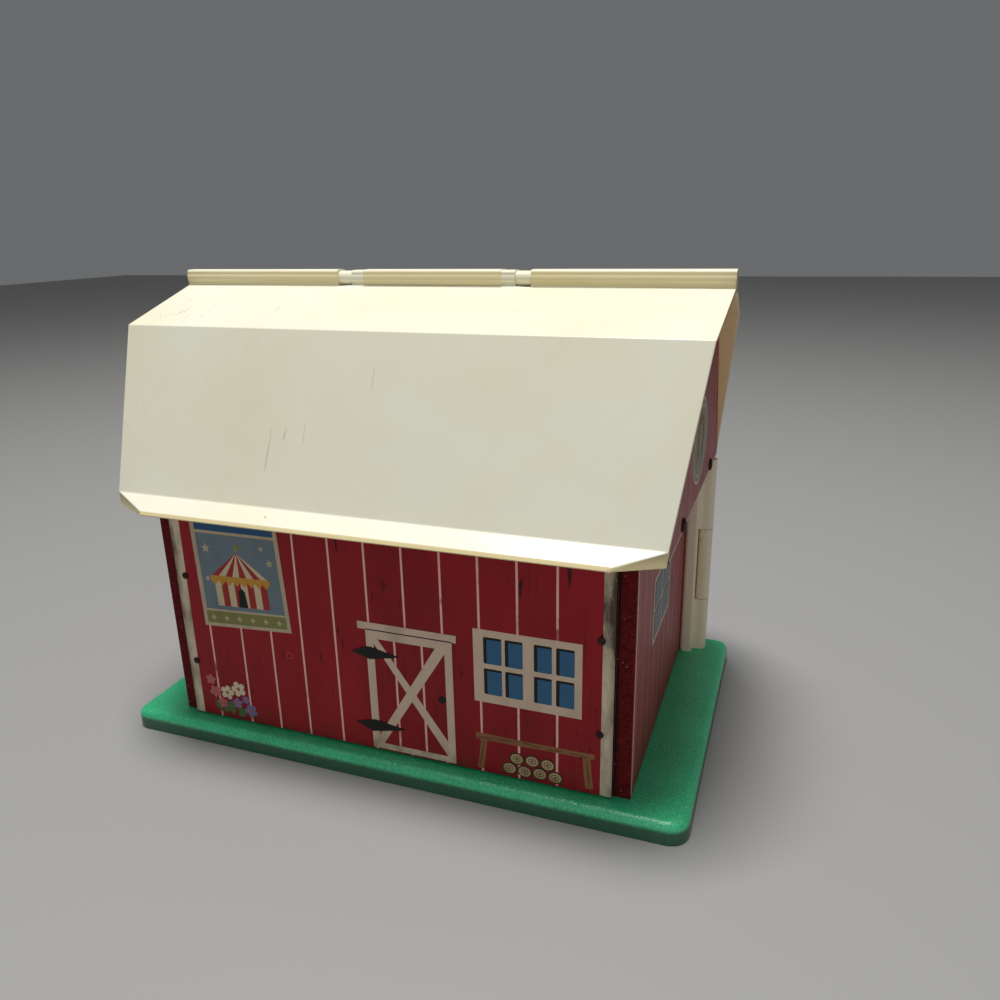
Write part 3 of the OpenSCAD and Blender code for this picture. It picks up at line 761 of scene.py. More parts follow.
class BARN_OT_finishes(bpy.types.Operator):
    """Mix the paints, inks and plastics"""
    bl_idname = "barn.finishes"
    bl_label = "Finishes"

    def execute(self, context):
        p, s = context.scene.barn_paints, context.scene.barn_sizes
        PAINTS.update(
            cream=moulded_cream("moulded_cream", p.cream, p),
            inner_cream=moulded_cream("inner_cream", p.inner_cream, p, 0.6),
            ridge_cream=moulded_cream("ridge_cream", srgb(232, 220, 178), p),
            cut_cream=moulded_cream("cut_cream", srgb(206, 180, 130), p, 0.6),
            post_cream=moulded_cream("post_cream", srgb(246, 232, 204), p),
            # Yellower cream for the lip's front and underside: painted warm glow where these faces
            # turn from the light.
            lip_cream=moulded_cream("lip_cream", srgb(250, 232, 178), p, 0.6),
            green=pebbled_green(p),
            planks_front=printed_planks("printed_planks_front", p, s, places=FRONT_LINES),
            planks_far=printed_planks("printed_planks_far", p, s),
            planks_end=printed_planks("printed_planks_end", p, s, Y, origin=0, pitch=17 * MM,
                                      worn=1.6, gloss=0.5, ink_strength=0.29),
            door_planks=printed_planks("printed_door_field", p, s, origin=10.1 * MM,
                                       pitch=16.5 * MM),
            red_edge=fibre_board("painted_board_edge", p.edge_red, srgb(74, 8, 12),
                                 srgb(150, 96, 84)),
            dark_edge=fibre_board("hardboard_edge", srgb(40, 27, 21), srgb(16, 12, 10),
                                  srgb(84, 62, 46)),
            board=fibre_board("bare_hardboard", p.raw_board, srgb(112, 80, 52),
                              srgb(176, 144, 104), 0.7),
            painted=ink("painted_board", p.edge_red, p, 0.3, 0.6),
            upright_wood=sawn_wood("bare_softwood", srgb(190, 150, 102), Z),
            batten_wood=sawn_wood("bare_softwood_battens", srgb(180, 140, 96), Y),
            white_ink=ink("white_ink", p.white_ink, p, 0.3),
            trim=worn_trim(p),
            black_ink=ink("black_ink", p.black_ink, p, 0.1),
            pane=ink("pane_blue", p.pane_blue, p, 0.12, 0.42),
            bench=ink("bench_brown", p.bench_brown, p, 0.4),
            dark_metal=metal("oxidised_steel", srgb(44, 32, 27), 0.6, 0.35),
            steel=metal("bright_steel", srgb(176, 176, 178), 0.34),
        )
        for name, (tone, grime) in INKS.items():
            PAINTS[name] = ink(name, srgb(*tone), p, grime)
        return {"FINISHED"}


class BARN_OT_stage(bpy.types.Operator):
    """Set up the floor, the lights and the camera"""
    bl_idname = "barn.stage"
    bl_label = "Stage"

    def execute(self, context):
        studio = context.scene.barn_studio
        clear_selection()
        bpy.ops.mesh.primitive_plane_add(size=9)
        floor = context.active_object
        floor.name = "studio_floor"
        edit(floor)
        bpy.ops.mesh.subdivide(number_cuts=7)
        leave_edit()
        paint(floor, (studio_floor(studio.floor), everywhere))
        self.area_light("key", (-0.08, -0.08, 2.2), (0, 0, 0.1), (0.7, 0.55), studio.key_power)
        self.area_light("fill", (0.5, -1.5, 0.7), (0, 0, 0.12), (1.6, 1.2), studio.fill_power)
        world = bpy.data.worlds.new("surroundings")
        context.scene.world = world
        world.use_nodes = True
        background = world.node_tree.nodes["Background"]
        background.inputs["Color"].default_value = (0.95, 0.97, 1.0, 1)
        background.inputs["Strength"].default_value = studio.sky
        context.scene.view_settings.view_transform = "Standard"
        self.camera(context, studio.focal_px)
        return {"FINISHED"}

    def area_light(self, name, place, aim, size, power):
        bpy.ops.object.light_add(type="AREA", location=place)
        light = bpy.context.active_object
        light.name = name
        light.data.shape = "RECTANGLE"
        light.data.size, light.data.size_y = size
        light.data.energy = power
        light.rotation_euler = (Vector(aim) - Vector(place)).to_track_quat("-Z", "Y").to_euler()

    def camera(self, context, focal_px):
        """Camera at the photograph's place, solved on the barn's straight edges."""
        place = Vector((206.9, -454.9, 300.7)) * MM
        yaw, pitch, roll = (math.radians(a) for a in (20.33, 18.38, 1.13))
        frame_px, film = 1000, 36
        ahead = Vector((-math.sin(yaw) * math.cos(pitch), math.cos(yaw) * math.cos(pitch),
                        -math.sin(pitch)))
        level = Vector((math.cos(yaw), math.sin(yaw), 0))
        down = ahead.cross(level)
        right = math.cos(roll) * level + math.sin(roll) * down
        under = math.cos(roll) * down - math.sin(roll) * level
        bpy.ops.object.camera_add(location=place)
        camera = context.active_object
        camera.data.sensor_width = film
        camera.data.lens = film * focal_px / frame_px
        turn = Matrix((right, -under, -ahead)).transposed().to_4x4()
        camera.matrix_world = Matrix.Translation(place) @ turn
        context.scene.camera = camera


class BARN_OT_base(bpy.types.Operator):
    """Finish the base moulding and what it holds"""
    bl_idname = "barn.base"
    bl_label = "Base"

    def execute(self, context):
        tray = eased_copy("base_tray", "base_moulding", context.scene.barn_sizes.base_ease,
                          longer=20, angle=60, reshape=self.square_corners)
        paint(tray, (PAINTS["green"], everywhere))
        settle(tray, "green_plastic", "barn", "base_tray")
        coat_node("base_board", PAINTS["board"])
        coat_node("base_screws", PAINTS["steel"])
        return {"FINISHED"}

    @staticmethod
    def square_corners(piece):
        """Fills the corners out a little; the near right one is the roundest."""
        radius, end_zone = 12 * MM, 150 * MM
        near_right, elsewhere = 0.04, 0.15
        longer = bpy.context.scene.barn_sizes.base_longer
        _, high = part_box("base_tray")
        for vertex in bmesh.from_edit_mesh(piece.data).verts:
            point = vertex.co
            if abs(point.x) > end_zone:
                point.x += math.copysign(longer, point.x)
            out = Vector((abs(point.x) - longer - high.x + radius, abs(point.y) - high.y + radius))
            if min(out) <= 0:
                continue
            fill = near_right if point.x > 0 > point.y else elsewhere
            squareness = (2 * out.x * out.y / out.length_squared) ** 2
            grow = out * fill * squareness
            point.x += math.copysign(grow.x, point.x)
            point.y += math.copysign(grow.y, point.y)
        bmesh.update_edit_mesh(piece.data)


class BARN_OT_walls(bpy.types.Operator):
    """Finish the long wall, the end boards and the timber behind them"""
    bl_idname = "barn.walls"
    bl_label = "Walls"

    def execute(self, context):
        ease = context.scene.barn_sizes.board_ease
        wall = eased_copy("long_wall", "front_wall_panel", ease, steps=2)
        paint(wall, (PAINTS["dark_edge"], everywhere), (PAINTS["board"], facing(Y, 1, 0.9)),
              (PAINTS["planks_front"], facing(Y, -1)))
        settle(wall, "printed_board", "barn", "long_wall")
        for side, sign in SIDES:
            node = side + "_end_wall"
            face = sign * outer_face(node, sign) - 0.3 * MM
            outward = facing(X, sign)
            board = eased_copy(node, side + "_end_board", 2.4 * ease)
            paint(board, (PAINTS["red_edge"], everywhere),
                  (PAINTS["painted"], facing(X, -sign, 0.9)),
                  (PAINTS["planks_end"], lambda c, n: outward(c, n) and sign * c.x > face))
            settle(board, "painted_board", "barn", node)
            coat_node(side + "_corner_cleat", PAINTS["upright_wood"])
        coat_node("door_header", PAINTS["painted"])
        return {"FINISHED"}


class BARN_OT_gables(bpy.types.Operator):
    """Finish the gable boards and their battens"""
    bl_idname = "barn.gables"
    bl_label = "Gables"

    def execute(self, context):
        for side, sign in SIDES:
            node = side + "_gable_board"
            board = eased_copy(node, side + "_gable_panel", context.scene.barn_sizes.board_ease,
                               steps=2)
            paint(board, (PAINTS["dark_edge"], everywhere),
                  (PAINTS["board"], facing(X, -sign, 0.9)), (PAINTS["planks_end"], facing(X, sign)))
            settle(board, "printed_board", "barn", node)
            coat_node(side + "_gable_battens", PAINTS["batten_wood"])
        return {"FINISHED"}


# The ridge: height of its pins' axis, radius of its bars, half their length, and the height where
# they rise from the slopes.
RIDGE_AXIS, BAR_RADIUS, BAR_REACH, RIDGE_FOOT = 272 * MM, 5.5 * MM, 170.8 * MM, 268 * MM
# Radius of the middle bar and of its collars, and how far from the axis each is flattened, in
# millimetres.
BAR_FLATS = ((5.5, 4.8), (5.1, 4.45))
# Bands of points on the roof's solids: nearest and farthest from the ridge's plane, lowest and
# highest, in millimetres.
CREST = (3.5, 200, 265.3, 268.6)
CREST_BY_BAR = (3.8, 4.3, 267.2, 267.8)
KNEE = (60, 200, 244, 250)
EAVE = (103, 104, 157.5, 158.6)
LIP_CREASE = (114, 200, 153, 155)
LIP_FOOT = (112, 200, 0, 151.6)
LIP_TOE = (114.5, 200, 0, 151.6)
LIP_FACE = (114.5, 200, 0, 155)


def band(limits, side=0):
    """Test for the points in a band, on one side of the ridge or, where side is 0, on both."""
    near, far, low, high = limits

    def test(point):
        out = side * point.y if side else abs(point.y)
        return within(out, near, far) and within(point.z, low, high)
    return test


class BARN_OT_roof(bpy.types.Operator):
    """Finish the two roof mouldings and their ridge pins"""
    bl_idname = "barn.roof"
    bl_label = "Roof"

    def execute(self, context):
        ease = context.scene.barn_sizes.roof_ease
        for node, name, body in (("roof_front", "front_roof_moulding", "barn"),
                                 ("roof_lid", "far_roof_moulding", "lid")):
            half = eased_copy(node, name, ease, longer=14, reshape=self.reshape,
                              flat=self.on_collar)
            paint(half, (PAINTS["cream"], everywhere),
                  (PAINTS["ridge_cream"], lambda c, n: c.z > RIDGE_FOOT and abs(n.z) < 0.6),
                  (PAINTS["cut_cream"], lambda c, n: abs(n.x) > 0.8 and abs(c.x) > 100 * MM),
                  (PAINTS["cream"], lambda c, n: c.z > RIDGE_FOOT and within(abs(c.x), 43, 52)),
                  # Lip faces that turn from the light: painted warm glow.
                  (PAINTS["lip_cream"], lambda c, n: c.z < 154.5 * MM and n.z < 0.84),
                  # Faces under the roof: painted warm glow of light through the plastic and of
                  # bounce from the walls.
                  (PAINTS["inner_cream"], self.faces_inside))
            settle(half, "cream_plastic", body, node)
        for side, _ in SIDES:
            coat_node(side + "_ridge_pin", PAINTS["cream"])
        coat_node("roof_screws", PAINTS["steel"])
        return {"FINISHED"}

    @staticmethod
    def reshape(piece):
        """Brings the crest, the knee, the eave, the lip and the ridge bars to their final form."""
        sizes = bpy.context.scene.barn_sizes
        for radius, face in BAR_FLATS:
            pick_points(piece, lambda p: p.y < -2.6 * MM and within(p.z, 267.5, 269.9)
                        and abs(math.hypot(p.y, p.z - RIDGE_AXIS) - radius * MM) < 0.1 * MM)
            bpy.ops.transform.resize(value=(1, 0, 1), center_override=(0, -face * MM, 0))
        if piece.name.startswith("front"):
            move_points(piece, band(CREST, -1), (0, 0, sizes.crest_lift))
        for test, lift in ((band(KNEE, 1), sizes.knee_lift), (band(KNEE, -1), sizes.knee_lift / 3),
                           (band(LIP_CREASE), -sizes.lip_slope), (band(LIP_FOOT), -sizes.lip_drop),
                           (band(EAVE), sizes.eave_lift)):
            move_points(piece, test, (0, 0, lift))
        for sign in (-1, 1):
            move_points(piece, band(LIP_TOE, sign), (0, sign * sizes.lip_flare, 0))
        by_bar, on_face = band(CREST_BY_BAR, -1), band(LIP_FACE)
        move_points(piece, lambda p: abs(p.x) < 52.5 * MM and by_bar(p), (0, -1.0 * MM, 0.3 * MM))
        pick_edges(piece, lambda e: e.calc_length() > 100 * MM
                   and all(on_face(v.co) for v in e.verts))
        round_edges(sizes.lip_round, 10)
        pick_points(piece, lambda p: p.z > RIDGE_AXIS + 0.5 * MM)
        squeeze = 1 - sizes.bar_drop / BAR_RADIUS
        bpy.ops.transform.resize(value=(1, 1, squeeze), center_override=(0, 0, RIDGE_AXIS))
        for sign in (-1, 1):
            pick_points(piece, lambda p: sign * p.x > 168 * MM and p.z > RIDGE_FOOT)
            bpy.ops.transform.resize(value=(0, 1, 1),
                                     center_override=(sign * BAR_REACH, 0, RIDGE_AXIS))

    @staticmethod
    def on_collar(centre):
        """True on the short collars at the ends of the middle ridge bar."""
        return within(abs(centre.x), 45.5, 51.5) and centre.z > 267 * MM

    @staticmethod
    def faces_inside(centre, normal):
        """True on the faces that look towards the middle of the barn from under the roof."""
        middle = Vector((centre.x, 0, 150 * MM))
        return abs(normal.x) < 0.5 and normal.dot(middle - centre) > 0 and centre.z < RIDGE_FOOT


class BARN_OT_doors(bpy.types.Operator):
    """Finish the doors, their posts and their knobs"""
    bl_idname = "barn.doors"
    bl_label = "Doors"

    def execute(self, context):
        sizes = context.scene.barn_sizes
        for side, _ in SIDES:
            body = side + "_door"
            post = eased_copy(side + "_door_post", side + "_corner_post", sizes.post_round,
                              longer=30, angle=35, steps=5, reshape=self.fill_out)
            paint(post, (PAINTS["post_cream"], everywhere))
            settle(post, "cream_plastic", "barn", side + "_door_post")
            leaf = eased_copy(side + "_door_leaf", side + "_door_panel", sizes.board_ease, steps=2)
            paint(leaf, (PAINTS["dark_edge"], everywhere),
                  (PAINTS["board"], facing(Y, -1, 0.9)), (PAINTS["planks_far"], facing(Y, 1)))
            settle(leaf, "printed_board", body, side + "_door_leaf")
            stile = eased_copy(side + "_door_stile", side + "_door_edge", 0.7 * sizes.roof_ease,
                               longer=8, angle=35)
            paint(stile, (PAINTS["post_cream"], everywhere))
            settle(stile, "cream_plastic", body, side + "_door_stile")
            self.knob(side, body)
            coat_node(side + "_door_nails", PAINTS["steel"])
            coat_node(side + "_hinge_pin", PAINTS["steel"])
        coat_node("post_screws", PAINTS["steel"])
        return {"FINISHED"}

    @staticmethod
    def fill_out(piece):
        """Brings the outer near edge of a corner post out towards the knuckles."""
        near = min(p.co.y for p in bmesh.from_edit_mesh(piece.data).verts) + 0.5 * MM
        fill = bpy.context.scene.barn_sizes.post_fill
        for sign in (-1, 1):
            move_points(piece, lambda p: sign * p.x > 148 * MM and p.y < near, (sign * fill, 0, 0))

    def knob(self, side, body):
        """Ball on a short flared neck, which stands on the door's outer face."""
        low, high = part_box(side + "_door_knob")
        leaf_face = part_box(side + "_door_leaf")[1].y
        centre = Vector(((low.x + high.x) / 2, leaf_face, (low.z + high.z) / 2))
        ball, reach = (high.x - low.x) / 2 / MM, (high.y - leaf_face) / MM
        neck, height = 0.5 * ball, 0.62 * reach
        middle = reach - height / 2
        rings = [(1.3 * neck, 0), (1.3 * neck, 0.35), (1.05 * neck, 0.8), (neck, 1.2)]
        foot, sweep, steps = -58, 146, 10
        for k in range(steps + 1):
            angle = math.radians(foot + sweep * k / steps)
            rings.append((ball * math.cos(angle), middle + height / 2 * math.sin(angle)))
        model = turned(side + "_knob", rings)
        out = wall_plane(centre, (-1, 0, 0), (0, 1, 0))
        knob = placed_copies(side + "_knob", model, [out], PAINTS["cream"])
        settle(knob, "cream_plastic", body, side + "_door_knob")


class BARN_OT_metalwork(bpy.types.Operator):
    """Model the wall nails' and gable screws' heads"""
    bl_idname = "barn.metalwork"
    bl_label = "Nails and screws"

    def execute(self, context):
        self.wall_nails()
        self.gable_screws()
        return {"FINISHED"}

    def wall_nails(self):
        low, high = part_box("wall_nails")
        wall_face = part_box("long_wall")[0].y
        radius = self.head_radius("wall_nails")
        inset, lift = radius * MM, (wall_face - low.y) / MM
        corners = [(x, z) for x in (low.x + inset, high.x - inset)
                   for z in (low.z + inset, high.z - inset)]
        strays = ((-1.0, -0.4), (-0.2, -0.8), (-0.5, 0.4), (-0.5, -2.8))
        matrices = [wall_plane(Vector((x + a * MM, wall_face, z + b * MM)), (1, 0, 0), (0, -1, 0))
                    for (x, z), (a, b) in zip(corners, strays)]
        worn = 0.92
        model = round_head("wall_nail", worn * radius, lift)
        nails = placed_copies("wall_nail_heads", model, matrices, PAINTS["dark_metal"])
        settle(nails, "dark_steel", "barn", "wall_nails")

    def gable_screws(self):
        low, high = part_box("gable_screws")
        face = outer_face("right_gable_board", 1)
        radius = (high.z - low.z) / 2
        model = round_head("gable_screw", radius / MM, (high.x - face) / MM, slot_width=0.9)
        seats = [(sign, y) for _, sign in SIDES for y in (low.y + radius, high.y - radius)]
        matrices = []
        for k, (sign, y) in enumerate(seats):
            seat = Vector((sign * face, y, (low.z + high.z) / 2))
            slot_turn = Matrix.Rotation(0.5 + 1.1 * k, 4, "Z")
            matrices.append(wall_plane(seat, (0, sign, 0), (sign, 0, 0)) @ slot_turn)
        screws = placed_copies("gable_screw_heads", model, matrices, PAINTS["dark_metal"])
        settle(screws, "dark_steel", "barn", "gable_screws")

    @staticmethod
    def head_radius(node):
        """Radius of the heads of a node of nails, in millimetres, from the head in one corner."""
        points = [v.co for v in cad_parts[node].data.vertices]
        corner = max(points, key=lambda p: p.x + p.z)
        head = [p.x for p in points if (p - corner).length < 8 * MM]
        return (max(head) - min(head)) / 2 / MM


class BARN_OT_front_pictures(bpy.types.Operator):
    """Print the door, window, bench, poster and flowers on the long wall"""
    bl_idname = "barn.front_pictures"
    bl_label = "Pictures on the long wall"

    def execute(self, context):
        low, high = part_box("long_wall")
        self.plane = wall_plane(Vector((0, low.y, 0)), (1, 0, 0), (0, -1, 0))
        self.trims(low, high)
        self.painted_door()
        self.painted_window()
        self.bench()
        self.poster()
        self.flowers()
        return {"FINISHED"}

    def lay(self, name, outlines, ink_name, layer, **shape):
        print_on("barn", self.plane, name, outlines, PAINTS[ink_name], layer, **shape)

    def trims(self, low, high):
        bottom, top = low.z / MM + 0.3, high.z / MM - 0.3
        end = high.x / MM - 0.08
        left = [(-end, bottom), (-126.5, bottom), (-125.1, top), (-end, top)]
        self.lay("wall_trims", [left, box_outline(126.2, bottom, end, top)], "trim", 1)

    def painted_door(self):
        left, low, right, high = -7.3, 14.9, 44.4, 90.4
        inner_left, inner_low, inner_right, inner_high = -2.6, 18.6, 40.0, 85.4
        self.lay("door_field", [box_outline(left + 1, low + 1, right - 1, high - 1)],
                 "door_planks", 1)
        braces = [[(-1.5, 87.3), (-4.0, 84.4), (41.0, 16.7), (42.0, 25.2)],
                  [(-4.0, 21.6), (-1.5, 16.6), (42.0, 86.1), (36.5, 88.6)]]
        self.lay("door_braces", braces, "white_ink", 3, stagger=0.3)
        rails = [box_outline(left, low, inner_left, high),
                 box_outline(inner_right, low, right, high),
                 box_outline(inner_left, inner_high, inner_right, high),
                 box_outline(inner_left, low, inner_right, inner_low)]
        self.lay("door_frame", rails, "white_ink", 3.7)
        self.lay("door_lintel", [box_outline(-12.1, 90.5, 47.0, 94.9)], "white_ink", 4.4)
        self.lay("door_header_shadow", [box_outline(left, 90.3, right, 90.95)], "black_ink", 5)
        straps = [[(-17.2, 75.6), (-7.6, 79.9), (-4.6, 80.0), (-1.8, 79.3), (12.4, 76.2),
                   (7.5, 74.9), (-5.8, 72.1)],
                  [(-17.6, 29.8), (-7.1, 33.1), (-4.4, 33.5), (14.1, 30.3), (9.6, 28.9),
                   (-7.0, 25.4)]]
        self.lay("strap_hinges", straps, "black_ink", 5.6)
        self.lay("door_latch", [round_outline(37.5, 54.3, 4.6, 4.3)], "black_ink", 4.6)

    def painted_window(self):
        self.lay("window_frame", [box_outline(56.7, 58.0, 115.9, 101.1)], "white_ink", 2)
        columns = ((62.5, 72.6), (74.5, 84.2), (90.3, 99.9), (102.2, 111.9))
        rows = ((63.2, 78.5), (81.5, 97.0))
        lights = [(a, c, b, d) for a, b in columns for c, d in rows]
        shade, lip = 1.9, 1.3
        self.lay("window_shade", [box_outline(*light) for light in lights], "black_ink", 3,
                 corner=0.7)
        self.lay("window_panes", [box_outline(a + shade, c, b, d - lip) for a, c, b, d in lights],
                 "pane", 4, corner=0.5)

    def bench(self):
        rail = [(56.8, 34.5), (74.0, 34.2), (98.0, 34.9), (123.0, 35.2), (123.2, 38.4),
                (104.0, 38.2), (80.0, 38.0), (66.0, 38.4), (56.7, 38.2)]
        left_leg = [(57.2, 15.8), (60.9, 15.6), (62.3, 25.0), (63.4, 34.6), (59.9, 34.6),
                    (58.6, 24.0)]
        right_leg = [(118.5, 16.4), (122.7, 16.8), (121.6, 27.0), (120.9, 35.3), (116.7, 35.3),
                     (117.4, 25.0)]
        self.lay("bench", [rail, left_leg, right_leg], "bench", 2)
        grain = [bar_outline(58 + 13 * k, 35.5 + 0.9 * (k % 3), 67 + 13 * k, 35.8 + 0.8 * (k % 2),
                             0.5) for k in range(5)]
        grain += [bar_outline(58.9, 18.0, 61.6, 33.0, 0.6),
                  bar_outline(120.4, 19.0, 119.0, 33.0, 0.6)]
        self.lay("bench_grain", grain, "bench_grain", 3)
        logs = ((76.0, 19.4), (84.6, 19.0), (93.2, 19.5), (101.8, 19.1),
                (80.2, 26.2), (89.0, 26.5), (97.6, 26.1))

        def discs(width, height, count=24):
            return [round_outline(x, z, width, height, count) for x, z in logs]

        self.lay("log_bark", discs(8.6, 7.6), "log_bark", 2, stagger=0.12)
        self.lay("log_ends", discs(6.9, 6.0), "log_end", 3)
        self.lay("log_rings", discs(4.2, 3.6), "log_bark", 4, ring=0.35)
        self.lay("log_hearts", discs(1.4, 1.2, 12), "log_bark", 4)

    def poster(self):
        bottom_left, bottom_right = Vector((-116.2, 76.0)), Vector((-55.8, 79.8))
        top_left, top_right = Vector((-118.2, 150.0)), Vector((-59.6, 150.0))

        def at(s, t):
            """Point on the sheet at a share of its width and a share of its height."""
            return tuple(bottom_left.lerp(bottom_right, s).lerp(top_left.lerp(top_right, s), t))

        def block(s1, t1, s2, t2):
            return [at(s1, t1), at(s2, t1), at(s2, t2), at(s1, t2)]

        self.lay("poster_paper", [block(0, 0, 1, 1)], "poster_border", 1)
        self.lay("poster_sky", [block(0.05, 0.155, 0.955, 0.805)], "poster_sky", 2)
        self.lay("poster_top_band", [block(0.05, 0.83, 0.955, 0.97)], "poster_band", 2)
        self.lay("poster_foot_band", [block(0.04, 0.03, 0.96, 0.135)], "poster_green", 2)
        beads = [star_outline(*at(0.12 + 0.152 * k, 0.08), 2.0, 4, 0.5) for k in range(6)]
        self.lay("poster_beads", beads, "poster_border", 3)
        places = ((0.15, 0.68, 3.2), (0.87, 0.60, 2.7), (0.80, 0.72, 1.9), (0.12, 0.42, 2.0))
        stars = [star_outline(*at(s, t), radius, turn=0.2 * k)
                 for k, (s, t, radius) in enumerate(places)]
        self.lay("poster_stars", stars, "poster_border", 3)
        self.tent(at, block)

    def tent(self, at, block):
        """Striped tent on the poster: at and block give points and blocks on its sheet."""
        peak, eave, foot = at(0.50, 0.66), 0.44, 0.19
        left, width, panels = 0.16, 0.68, 8
        edges = [left + k * width / panels for k in range(panels + 1)]
        strips = list(zip(edges, edges[1:]))
        slopes = [[at(a, eave), at(b, eave), peak] for a, b in strips]
        walls = [block(0.2 + k * 0.075, foot, 0.275 + k * 0.075, eave) for k in range(panels)]
        self.lay("tent_red", slopes[0::2] + walls[1::2], "tent_red", 3)
        self.lay("tent_cream", slopes[1::2] + walls[0::2], "tent_cream", 3)
        top, side, point = eave + 0.012, eave - 0.03, eave - 0.07
        fringe = [[at(a, top), at(a, side), at((a + b) / 2, point), at(b, side), at(b, top)]
                  for a, b in strips]
        self.lay("tent_fringe", fringe, "tent_yellow", 4, corner=0.5)
        door = [at(0.45, foot), at(0.55, foot), at(0.535, 0.33), at(0.5, 0.36), at(0.465, 0.33)]
        self.lay("tent_door", [door], "black_ink", 4.4)
        x, z = peak
        flag = [(x, z + 5.2), (x + 6.6, z + 3.6), (x, z + 2.0)]
        self.lay("tent_flag", [flag], "tent_green", 4)
        self.lay("tent_pole", [box_outline(x - 0.35, z - 1.0, x + 0.35, z + 5.6)], "tent_yellow", 3)

    def flowers(self):
        self.lay("scuff_ring", [round_outline(-58.8, 65.1, 4.4, 4.4)], "scuff", 1, ring=0.5)
        blossoms = {
            "pink_blossoms": ((-118.4, 38.6, 3.6, 0.2), (-116.0, 30.6, 4.2, 0.9),
                              (-111.4, 23.6, 3.8, 0.5)),
            "cream_blossoms": ((-107.2, 31.4, 4.9, 0.1), (-98.6, 35.2, 5.2, 0.7)),
            "lilac_blossoms": ((-100.4, 25.2, 3.6, 0.4), (-91.0, 21.6, 4.4, 0.8),
                               (-94.2, 28.6, 2.8, 0.0)),
        }
        hearts = []
        for name, group in blossoms.items():
            petals = [flower_outline(x, z, radius, turn=turn) for x, z, radius, turn in group]
            self.lay(name, petals, name, 3, stagger=0.15)
            hearts += [round_outline(x, z, 0.5 * r, 0.5 * r, 12) for x, z, r, _ in group]
        self.lay("blossom_hearts", hearts, "blossom_heart", 4)
        leaves = [leaf_outline(x, z, length, math.radians(turn)) for x, z, length, turn in (
            (-113.0, 17.0, 9.0, 115), (-111.0, 16.4, 10.0, 62), (-104.0, 16.2, 10.0, 100),
            (-101.0, 16.2, 9.0, 40), (-96.0, 16.4, 8.0, 125), (-90.5, 16.2, 6.0, 80))]
        self.lay("flower_leaves", leaves, "leaf_green", 1.4, stagger=0.15)


class BARN_OT_end_pictures(bpy.types.Operator):
    """Print the windows on the end boards and the medallions on the gables"""
    bl_idname = "barn.end_pictures"
    bl_label = "Pictures on the ends"

    def execute(self, context):
        for side, sign in SIDES:
            board, gable = side + "_end_wall", side + "_gable_board"
            self.plane = end_plane(board, sign)
            self.end_window(side, sign)
            edge, foot, head, width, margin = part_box(board)[1].y / MM, 14, 150, 2, 0.7
            strips = [box_outline(-edge + margin, foot, -edge + margin + width, head),
                      box_outline(edge - margin - width, foot, edge - margin, head)]
            self.lay(side + "_board_strips", strips, "end_white", 1)
            self.plane = end_plane(gable, sign)
            self.medallion(side)
            low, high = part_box(gable)
            reach, foot = high.y / MM - 2, low.z / MM
            self.lay(side + "_gable_line", [box_outline(-reach, foot + 0.5, reach, foot + 1.7)],
                     "end_white", 1)
        return {"FINISHED"}

    def lay(self, name, outlines, ink_name, layer, **shape):
        print_on("barn", self.plane, name, outlines, PAINTS[ink_name], layer, **shape)

    def end_window(self, side, sign):
        middle, half, low, high = sign * -14.5, 27.5, 77.6, 117.0
        self.lay(side + "_window_frame", [box_outline(middle - half, low, middle + half, high)],
                 "end_white", 2)
        bar, rim, cross = 1.6, 2.4, (low + high) / 2
        columns = ((middle - half + rim, middle - bar), (middle + bar, middle + half - rim))
        rows = ((low + rim, cross - bar / 2), (cross + bar / 2, high - rim))
        lights = [(a, c, b, d) for a, b in columns for c, d in rows]
        shade, lip = 1.2, 0.9
        self.lay(side + "_window_shade", [box_outline(*light) for light in lights], "black_ink", 3)
        self.lay(side + "_window_panes",
                 [box_outline(a + shade, c, b, d - lip) for a, c, b, d in lights], "end_pane", 4)

    def medallion(self, side):
        """Oval plaque on the gable, with a horseshoe and its nail holes."""
        up, width, height = 185.5, 58.0, 48.0

        def oval(name, inset, ink_name, layer, **shape):
            outline = round_outline(0, up, width - inset, height - inset, 48)
            self.lay(side + name, [outline], ink_name, layer, **shape)

        oval("_medallion_rim", 0, "end_white", 1)
        oval("_medallion", 3, "medallion_green", 2)
        oval("_medallion_ring", 8, "end_white", 3, ring=0.8)

        def at(radius, squash, degrees):
            angle = math.radians(degrees)
            return radius * math.cos(angle), up + 1 + squash * radius * math.sin(angle)

        outer, inner = 13.0, 7.6
        first, sweep, steps = -58, 296, 20
        arc = [first + sweep * k / steps for k in range(steps + 1)]
        shoe = [at(outer, 1.12, a) for a in arc] + [at(inner, 1.2, a) for a in reversed(arc)]
        self.lay(side + "_horseshoe", [shoe], "bench", 3)
        holes = [round_outline(*at((outer + inner) / 2, 1.15, a), 1.5, 1.5, 12)
                 for a in (-30, 0, 30, 60, 120, 150, 180, 210)]
        self.lay(side + "_horseshoe_holes", holes, "black_ink", 4)


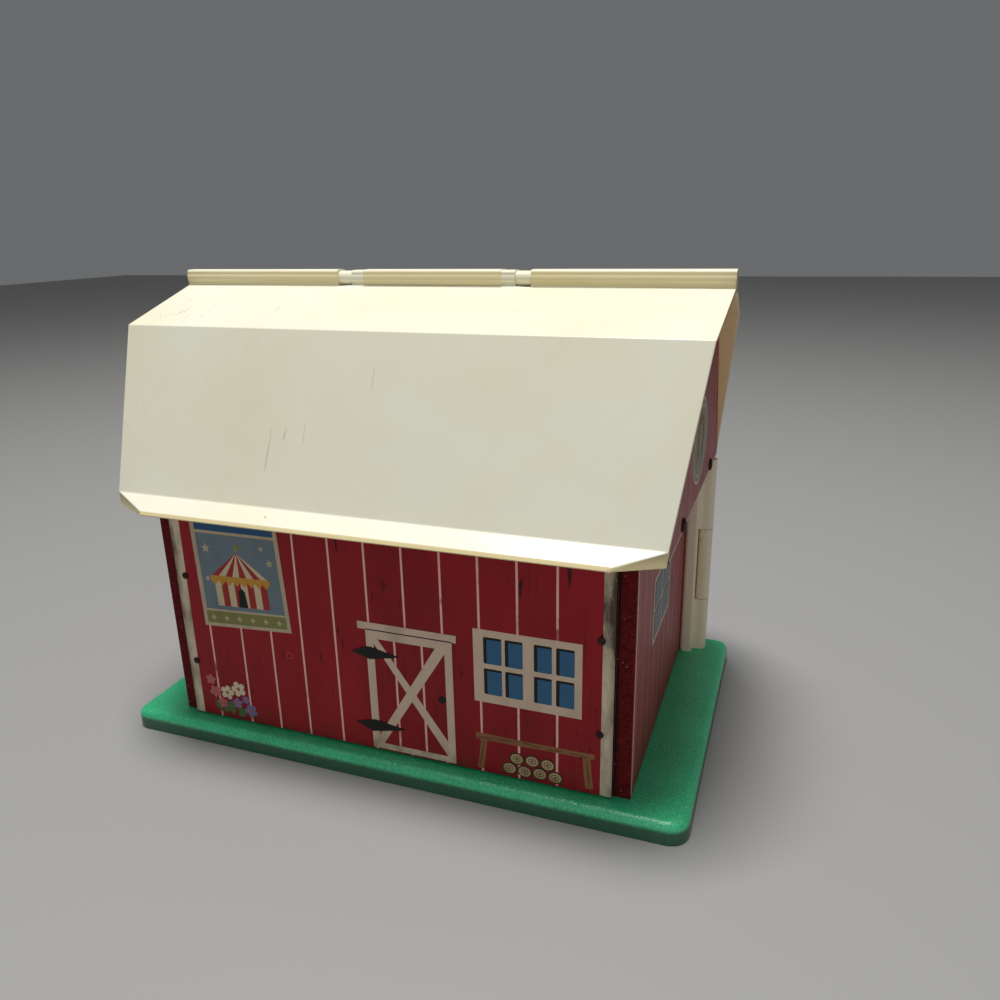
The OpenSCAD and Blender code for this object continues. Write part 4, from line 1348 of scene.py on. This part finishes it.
class BARN_OT_door_pictures(bpy.types.Operator):
    """Print the plank frames and strap hinges on the two doors"""
    bl_idname = "barn.door_pictures"
    bl_label = "Pictures on the doors"

    def execute(self, context):
        # Seen from outside, across runs towards -X here, so the left door is on the right.
        for side, sign in (("left", 1), ("right", -1)):
            body = side + "_door"
            low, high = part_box(side + "_door_leaf")
            stile_low, stile_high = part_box(side + "_door_stile")
            plane = wall_plane(Vector((0, high.y, 0)), (-1, 0, 0), (0, 1, 0))
            free_edge = min(abs(low.x), abs(high.x)) / MM
            stile_edge = min(abs(stile_low.x), abs(stile_high.x)) / MM
            near, far = free_edge + 0.6, stile_edge - 0.6
            left, right = sorted((sign * near, sign * far))
            foot, head = low.z / MM + 0.8, high.z / MM - 0.8
            parts = crossbuck(side + "_leaf_frame", plane, left, foot, right, head,
                              stile=9, rails=(9, 8), brace=7.5, layer=2)
            settle(joined(side + "_leaf_frame", parts, PAINTS["white_ink"]), "printed_board", body)
            tip, barb, root = sign * (far - 42), sign * (far - 30), sign * (far - 1)
            straps = [[(root, z - 3.4), (root, z + 3.4), (barb, z + 4.8), (tip, z),
                       (barb, z - 4.8)] for z in (foot + 22, head - 22)]
            print_on(body, plane, side + "_leaf_straps", straps, PAINTS["black_ink"], 3)
        return {"FINISHED"}


class BARN_PT_panel(bpy.types.Panel):
    """Lists the steps that dress the barn, and the values that they use"""
    bl_idname = "BARN_PT_panel"
    bl_label = "Toy barn"
    bl_space_type = "VIEW_3D"
    bl_region_type = "UI"
    bl_category = "Toy barn"

    def draw(self, context):
        for step in STEPS:
            self.layout.operator(step.bl_idname)
        scene = context.scene
        for group in (scene.barn_paints, scene.barn_sizes, scene.barn_studio):
            box = self.layout.box()
            for name in group.__annotations__:
                box.prop(group, name)


STEPS = (BARN_OT_finishes, BARN_OT_stage, BARN_OT_base, BARN_OT_walls, BARN_OT_gables,
         BARN_OT_roof, BARN_OT_doors, BARN_OT_metalwork, BARN_OT_front_pictures,
         BARN_OT_end_pictures, BARN_OT_door_pictures)
GROUPS = (BarnPaints, BarnSizes, BarnStudio)


def register():
    for part in GROUPS + STEPS + (BARN_PT_panel,):
        bpy.utils.register_class(part)
    bpy.types.Scene.barn_paints = bpy.props.PointerProperty(type=BarnPaints)
    bpy.types.Scene.barn_sizes = bpy.props.PointerProperty(type=BarnSizes)
    bpy.types.Scene.barn_studio = bpy.props.PointerProperty(type=BarnStudio)


def unregister():
    del bpy.types.Scene.barn_paints, bpy.types.Scene.barn_sizes, bpy.types.Scene.barn_studio
    for part in reversed(GROUPS + STEPS + (BARN_PT_panel,)):
        bpy.utils.unregister_class(part)


def main():
    register()
    for step in STEPS:
        group, name = step.bl_idname.split(".")
        getattr(getattr(bpy.ops, group), name)()


if __name__ == "__main__":
    main()
